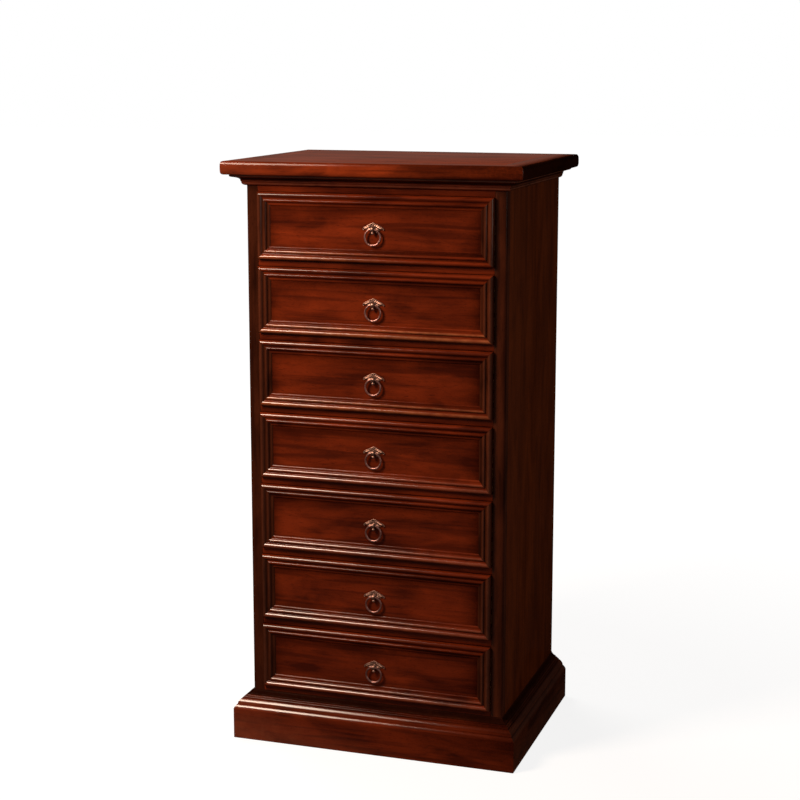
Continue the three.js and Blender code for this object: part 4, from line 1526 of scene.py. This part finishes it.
@dataclass
class RingPull:
    """A cast leaf plate with an eyelet, the ring that hangs in it, and the nut inside the drawer."""

    case: Carcass
    height: float = 0.07075
    ring_radius: float = 0.0166
    wire_radius: float = 0.0019
    axis_proud: float = 0.0091
    plate_back: float = 0.0027
    eye_radius: float = 0.0030
    eye_wall: float = 0.0021
    eye_width: float = 0.0070
    rim_radius: float = 0.0011
    rim_height: float = 0.0014
    leaf_steps: int = 17
    leaf_sides: int = 19
    rim_sides: int = 14
    boss_sides: int = 28
    stem_sides: int = 24
    drop_sides: int = 20
    eye_steps: int = 36
    rim_steps: int = 6
    drop_steps: int = 4
    bulge_steps: int = 12
    plate_sharp: float = 50.0
    ring_sharp: float = 60.0
    ring_steps: int = 96
    wire_sides: int = 16

    # Each leaf: its foot across and up, its turn from upright in degrees, its length, half width and height.
    # Lengths here and in the rim and the drop are in millimetres.
    LEAVES = (
        (0.0, 2.2, 0.0, 10.2, 3.4, 2.7),
        (1.8, 2.6, 30.0, 9.6, 3.1, 2.5),
        (3.8, 2.6, 54.0, 10.2, 3.2, 2.4),
        (6.6, 2.4, 75.0, 10.8, 3.1, 2.3),
        (11.0, 2.4, 98.0, 11.6, 3.0, 2.2),
        (3.4, -0.2, 99.0, 12.0, 3.0, 2.1),
        (2.8, -2.2, 140.0, 7.4, 2.4, 1.8),
        (0.0, -2.6, 180.0, 6.0, 2.2, 1.6),
    )
    # The rim on the right: across and up
    RIM = ((0.0, 12.0), (2.6, 11.4), (6.2, 9.6), (10.4, 7.4), (14.8, 5.4), (18.6, 3.4), (21.4, 1.4),
           (22.8, -0.6), (21.8, -2.0), (20.3, -1.3))
    # The boss under the leaves, in metres: its place on the axis, radius and relief
    BOSS = ((-0.0002, 0.0052, 0.2), (-0.0014, 0.0051, 0.5), (-0.0023, 0.0044, 1.0), (-0.0028, 0.0032, 0.3),
            (-0.0030, 0.0008, 0.3))
    # The drop under the eyelet: up, radius and relief
    DROP = ((-4.2, 1.0, 0.2), (-4.9, 1.9, 0.6), (-5.6, 1.7, 0.2), (-6.4, 2.5, 0.6), (-7.8, 3.2, 1.0),
            (-9.2, 3.2, 1.0), (-10.5, 2.4, 0.8), (-11.3, 1.3, 0.6), (-11.7, 0.3, 0.6))
    # The swellings along the ring: where, in degrees from its top, how much, and how wide
    BEADS = ((180.0, 0.18, 0.16), (152.0, 0.14, 0.05), (208.0, 0.14, 0.05), (118.0, 0.1, 0.05),
             (242.0, 0.1, 0.05))
    # The washer, the six-sided nut and the end of the post, in metres: how many sides each has, then its
    # places on the axis and radii
    FIXING = ((28, ((0.0, 0.0062), (0.0008, 0.0062), (0.0010, 0.0058), (0.0010, 0.0030))),
              (6, ((0.0010, 0.0036), (0.0013, 0.0040), (0.0029, 0.0040), (0.0031, 0.0036))),
              (16, ((0.0, 0.0021), (0.0034, 0.0021), (0.0038, 0.0017))))

    def leaf(self, foot: Pair, turn: float, length: float, half: float, height: float,
             centre: Triple) -> Shell:
        """One leaf of the plate, as a closed skin over its length and round its section.

        The half width is the sine of the share of the length raised to 0.75, with a scallop on it. The
        top of each section is a half round with a sharp rib along the middle, and the underside is flat.

        Args:
            foot: where it springs from, across and up from the middle.
            turn: its angle from upright, in degrees, towards +X.
            length: its length.
            half: its greatest half width.
            height: its greatest height.
            centre: the middle of the plate, on the panel.

        Returns:
            The shell of the leaf.
        """
        along = np.linspace(0.02, 0.985, self.leaf_steps)[:, None]
        round_it = np.linspace(0, 1, self.leaf_sides)[None, :]
        width = half * np.sin(np.pi * along ** 0.75) ** 0.8 * (1 + 0.13 * np.sin(7 * np.pi * along))
        side = np.cos(np.pi * round_it)
        rib = 0.78 * np.sqrt(np.clip(1 - side ** 2, 0, 1)) + 0.22 * np.exp(-(side / 0.16) ** 2)
        vein = 1 - 0.10 * np.cos(11 * np.pi * (along - 0.35 * np.abs(side)))
        swell = 0.35 + 0.65 * np.sin(np.pi * np.clip(along * 0.85 + 0.12, 0, 1))
        lift = height * swell * rib * vein
        curl = 0.06 * length * along ** 2 * np.sign(turn)
        angle = math.radians(turn)
        across = width * side + curl
        x = foot[0] + along * length * math.sin(angle) + across * math.cos(angle)
        z = foot[1] + along * length * math.cos(angle) - across * math.sin(angle)
        points = np.stack([centre[0] + x * MM, centre[1] - lift * MM + 0 * x, centre[2] + z * MM], -1)
        relief = np.clip(0.3 + 0.65 * lift / height, 0, 1)
        return Shell(points, relief=relief)

    def plate(self, centre: Triple) -> list[Shell]:
        """The leaves, mirrored to both sides, the rim over them and a low boss under them.

        Args:
            centre: the middle of the plate, on the panel.

        Returns:
            A shell for each.
        """
        shells = []
        for across, up, turn, length, half, height in self.LEAVES:
            for side in ((1, -1) if turn % 180 else (1,)):
                shells.append(self.leaf((side * across, up), side * turn, length, half, height, centre))
        return [*shells, self.rim(centre), turned(np.array(self.BOSS), centre, 1, self.boss_sides)]

    def rim(self, centre: Triple) -> Shell:
        """The raised rim over the leaves, a bead that follows a gable and curls in at its ends.

        Each section is a circle across the path, its radius drawn in towards the ends by a cosine.

        Args:
            centre: the middle of the plate, on the panel.

        Returns:
            The shell of the rim.
        """
        right = curve_through(self.RIM, self.rim_steps)
        path = np.vstack([right[:0:-1] * (-1, 1), right])
        way = np.gradient(path, axis=0)
        way /= np.linalg.norm(way, axis=1, keepdims=True)
        share = np.linspace(-1, 1, len(path))[:, None]
        radius = self.rim_radius * (0.62 + 0.38 * np.cos(share * np.pi / 2)) * (1 + 0.08 * np.sin(share * 60))
        turn = np.linspace(0, 2 * np.pi, self.rim_sides, endpoint=False)[None, :]
        x = path[:, :1] * MM - way[:, 1:] * radius * np.cos(turn)
        z = path[:, 1:] * MM + way[:, :1] * radius * np.cos(turn)
        y = -self.rim_height + radius * np.sin(turn)
        relief = np.clip(0.65 - 0.35 * np.sin(turn), 0, 1) + 0 * radius
        return Shell(np.stack([centre[0] + x, centre[1] + y, centre[2] + z], -1), relief=relief)

    def eyelet(self, centre: Triple) -> list[Shell]:
        """The stem, the eyelet and the drop under it: a ring section carried round the pull's own axis.

        The section is a barrel: its outer side bulges as a half ellipse and its inner side is flat.

        Args:
            centre: the middle of the plate, on the panel.

        Returns:
            The eyelet, the stem and the drop.
        """
        half = self.eye_width / 2
        bulge = arc((0.0, 0.0), 1.0, 0, 180, self.bulge_steps)
        wall = self.eye_wall * (0.35 + 0.65 * bulge[:, 1])
        outer = np.column_stack([half * bulge[:, 0], self.eye_radius + wall])
        profile = np.vstack([outer, [(-half * 0.9, self.eye_radius), (half * 0.9, self.eye_radius)]])
        relief = np.clip((profile[:, 1] - self.eye_radius) / self.eye_wall, 0.1, 1.0)
        middle = (centre[0], centre[1] + self.plate_back - self.axis_proud, centre[2])
        angle = np.linspace(0, 2 * np.pi, self.eye_steps, endpoint=False)[:, None]
        points = np.stack([middle[0] + profile[None, :, 0] + 0 * angle,
                           middle[1] + profile[None, :, 1] * np.cos(angle),
                           middle[2] + profile[None, :, 1] * np.sin(angle)], -1)
        eye = Shell(points, hoop=True, relief=relief[None, :])
        reach = self.plate_back - self.axis_proud + self.eye_radius + self.eye_wall / 2
        stem = np.array([(-0.0012, 0.0040, 0.3), (-0.0020, 0.0034, 0.6), (-0.0026, 0.0028, 0.4),
                         (reach, 0.0028, 0.4), (reach - 0.0001, 0.0006, 0.4)])
        drop = curve_through(self.DROP, self.drop_steps) * (MM, MM, 1)
        return [eye, turned(stem, centre, 1, self.stem_sides), turned(drop, middle, 2, self.drop_sides)]

    def ring(self, top: Triple) -> Shell:
        """The ring: a wire whose thickness swells at beads along it and towards its foot.

        The wire's radius is its thin radius times one plus a slow swelling towards the foot, plus a
        narrow bump at each bead.

        Args:
            top: the point that the ring hangs from.

        Returns:
            The shell of the ring.
        """
        angle = np.linspace(0, 2 * np.pi, self.ring_steps, endpoint=False)
        swell = 0.16 * (1 - np.cos(angle)) / 2
        for place, size, width in self.BEADS:
            swell = swell + size * np.exp(-((angle - math.radians(place)) / width) ** 2)
        wire = (self.wire_radius * (1 + swell))[:, None]
        turn = np.linspace(0, 2 * np.pi, self.wire_sides, endpoint=False)[None, :]
        reach = self.ring_radius + wire * np.cos(turn)
        x = top[0] + reach * np.sin(angle)[:, None]
        z = top[2] - self.ring_radius + reach * np.cos(angle)[:, None]
        y = top[1] + wire * np.sin(turn)
        relief = np.clip(0.46 + 1.8 * swell[:, None] - 0.2 * np.cos(turn) ** 2, 0, 1)
        return Shell(np.stack([x, y + 0 * x, z], -1), hoop=True, relief=relief)

    def build(self, number: int) -> None:
        """Makes one pull.

        Args:
            number: the drawer's number, counted from the top.
        """
        case, drawer = self.case, f"drawer_{number}"
        middle_z = case.opening_z(number) + self.height
        centre = (0.0, case.front_y - self.plate_back, middle_z)
        brass = [case.finishes.of(BRASS)]
        cast = [*self.plate(centre), *self.eyelet(centre)]
        solid(f"pull_plate_{number}", cast, brass, drawer, "aged_brass", drawer + "_pull_plate",
              sharp=self.plate_sharp)
        behind = (0.0, case.front_y + case.slab_depth, middle_z)
        fixing = [turned(np.array(profile), behind, 1, sides) for sides, profile in self.FIXING]
        solid(f"pull_nut_{number}", fixing, brass, drawer, "aged_brass")
        ring = self.ring((0.0, case.front_y - self.axis_proud, middle_z))
        solid(f"pull_ring_{number}", [ring], [case.finishes.of(RING_BRASS)], f"ring_{number}", "aged_brass",
              drawer + "_pull_ring", sharp=self.ring_sharp)


@dataclass(frozen=True)
class Lamp:
    """A soft lamp: where it hangs, its width and height, its power in watts and the colour of its light."""

    name: str
    place: Triple
    size: Pair
    power: float
    colour: Triple
    mirrored: bool = True

    def hang(self, aim: Triple) -> None:
        """Hangs the lamp and turns it to the chest.

        Args:
            aim: the point that it looks at.
        """
        data = bpy.data.lights.new(self.name, "AREA")
        data.shape, data.energy, data.color = "RECTANGLE", self.power, self.colour
        data.size, data.size_y = self.size
        lamp = bpy.data.objects.new(self.name, data)
        away = np.array(self.place) - np.array(aim)
        lamp.location = self.place
        lamp.visible_glossy = self.mirrored
        lamp.rotation_euler = (math.acos(away[2] / np.linalg.norm(away)), 0.0, math.atan2(away[0], -away[1]))
        bpy.context.scene.collection.objects.link(lamp)


@dataclass
class Studio:
    """The camera, a pale floor and plain soft lamps."""

    camera_place: Triple = (1.1694, -3.5589, 1.4569)
    camera_yaw: float = 18.357
    camera_pitch: float = 10.017
    lens: float = 78.80
    shift_y: float = -0.04
    lamps: tuple[Lamp, ...] = (
        Lamp("key", (-1.03, -1.48, 2.08), (0.60, 0.85), 58.0, (1.0, 0.79, 0.62)),
        Lamp("fill", (2.6, -1.2, 1.6), (1.6, 1.6), 14.0, (1.0, 0.88, 0.79)),
        Lamp("back", (-1.9, 1.6, 4.1), (2.0, 2.0), 80.0, (1.0, 0.94, 0.88), mirrored=False),
    )
    aim: Triple = (0.0, -0.1, 0.65)
    ambient: float = 0.09
    room_tint: Triple = (1.0, 0.84, 0.72)
    glossy_share: float = 0.10
    floor_half: float = 30.0
    floor_grey: float = 0.22
    floor_white: float = 0.86
    floor_near: float = 0.8
    floor_far: float = 2.6

    def set_camera(self) -> None:
        """Places the camera and turns it to the photograph's view."""
        data = bpy.data.cameras.new("camera")
        data.lens, data.shift_y = self.lens, self.shift_y
        camera = bpy.data.objects.new("camera", data)
        camera.location = self.camera_place
        camera.rotation_euler = (math.radians(90 - self.camera_pitch), 0.0, math.radians(self.camera_yaw))
        bpy.context.scene.collection.objects.link(camera)
        bpy.context.scene.camera = camera

    def seen_by(self, nodes: Nodes, plain: float) -> tuple[Socket, Socket]:
        """The colour and brightness of the pale background, to each kind of ray.

        It is plain white from the camera and through glass, and a share of that to mirroring rays, so that
        the dark polish keeps its depth. Every other ray meets the tint and the plain level of the room.

        Args:
            nodes: the nodes of the world or the floor.
            plain: the level for every other ray.

        Returns:
            The colour and the brightness.
        """
        path = nodes.add("LightPath")
        seen = nodes.maths("ADD", path.outputs["Is Camera Ray"], path.outputs["Is Transmission Ray"], True)
        glossy = nodes.maths("MULTIPLY", path.outputs["Is Glossy Ray"], self.glossy_share - plain)
        level = nodes.maths("ADD", nodes.maths("MULTIPLY", seen, 1.0 - plain), glossy)
        return nodes.mix(seen, self.room_tint, WHITE), nodes.maths("ADD", level, plain)

    def light(self) -> None:
        """Hangs the lamps and sets the world."""
        for lamp in self.lamps:
            lamp.hang(self.aim)
        world = bpy.data.worlds.new("studio")
        world.use_nodes = True
        bpy.context.scene.world = world
        nodes = Nodes(world.node_tree)
        colour, level = self.seen_by(nodes, self.ambient)
        background = nodes.feed(nodes.add("Background"), Color=colour, Strength=level)
        nodes.feed(nodes.add("OutputWorld"), Surface=background.outputs[0])

    def lay_floor(self) -> None:
        """Lays a wide pale floor that keeps the chest's shadow and turns plain white away from it."""
        mesh = bpy.data.meshes.new("floor")
        half = self.floor_half
        mesh.from_pydata([(-half, -half, 0), (half, -half, 0), (half, half, 0), (-half, half, 0)], [],
                         [(0, 1, 2, 3)])
        floor = bpy.data.objects.new("floor", mesh)
        bpy.context.scene.collection.objects.link(floor)
        material = bpy.data.materials.new("pale_floor")
        material.use_nodes = True
        nodes = Nodes(material.node_tree)
        where = nodes.add("TexCoord").outputs["Object"]
        reach = nodes.feed(nodes.add("VectorMath", operation="LENGTH"), i0=where).outputs["Value"]
        white = nodes.spread(reach, self.floor_near, self.floor_far, self.floor_white, 1.0)
        mirrored = nodes.add("LightPath").outputs["Is Glossy Ray"]
        grey = nodes.mix(mirrored, (self.floor_grey,) * 3, BLACK)
        surface = nodes.feed(nodes.add("BsdfDiffuse"), Color=grey)
        colour, level = self.seen_by(nodes, 0.0)
        glow = nodes.feed(nodes.add("Emission"), Color=colour, Strength=nodes.maths("MULTIPLY", level, white))
        both = nodes.feed(nodes.add("AddShader"), i0=surface.outputs[0], i1=glow.outputs[0])
        nodes.feed(nodes.add("OutputMaterial"), Surface=both.outputs[0])
        mesh.materials.append(material)


def main() -> None:
    """Builds the studio and the chest."""
    logging.basicConfig(level=logging.INFO, format="%(name)s: %(message)s")
    bpy.context.scene.view_settings.view_transform = "Standard"
    studio = Studio()
    studio.set_camera()
    case, joint = Carcass(Finishes()), BoxJoint()
    for piece in (TopBoard, BedMoulding, Uprights, Base, Frames, BackPanel):
        piece(case).build()
    drawer = (DrawerFront(case, joint), DrawerBox(case, joint), RingPull(case))
    for number in range(1, case.drawers + 1):
        for piece in drawer:
            piece.build(number)
    studio.lay_floor()
    studio.light()


if __name__ == "__main__":
    main()
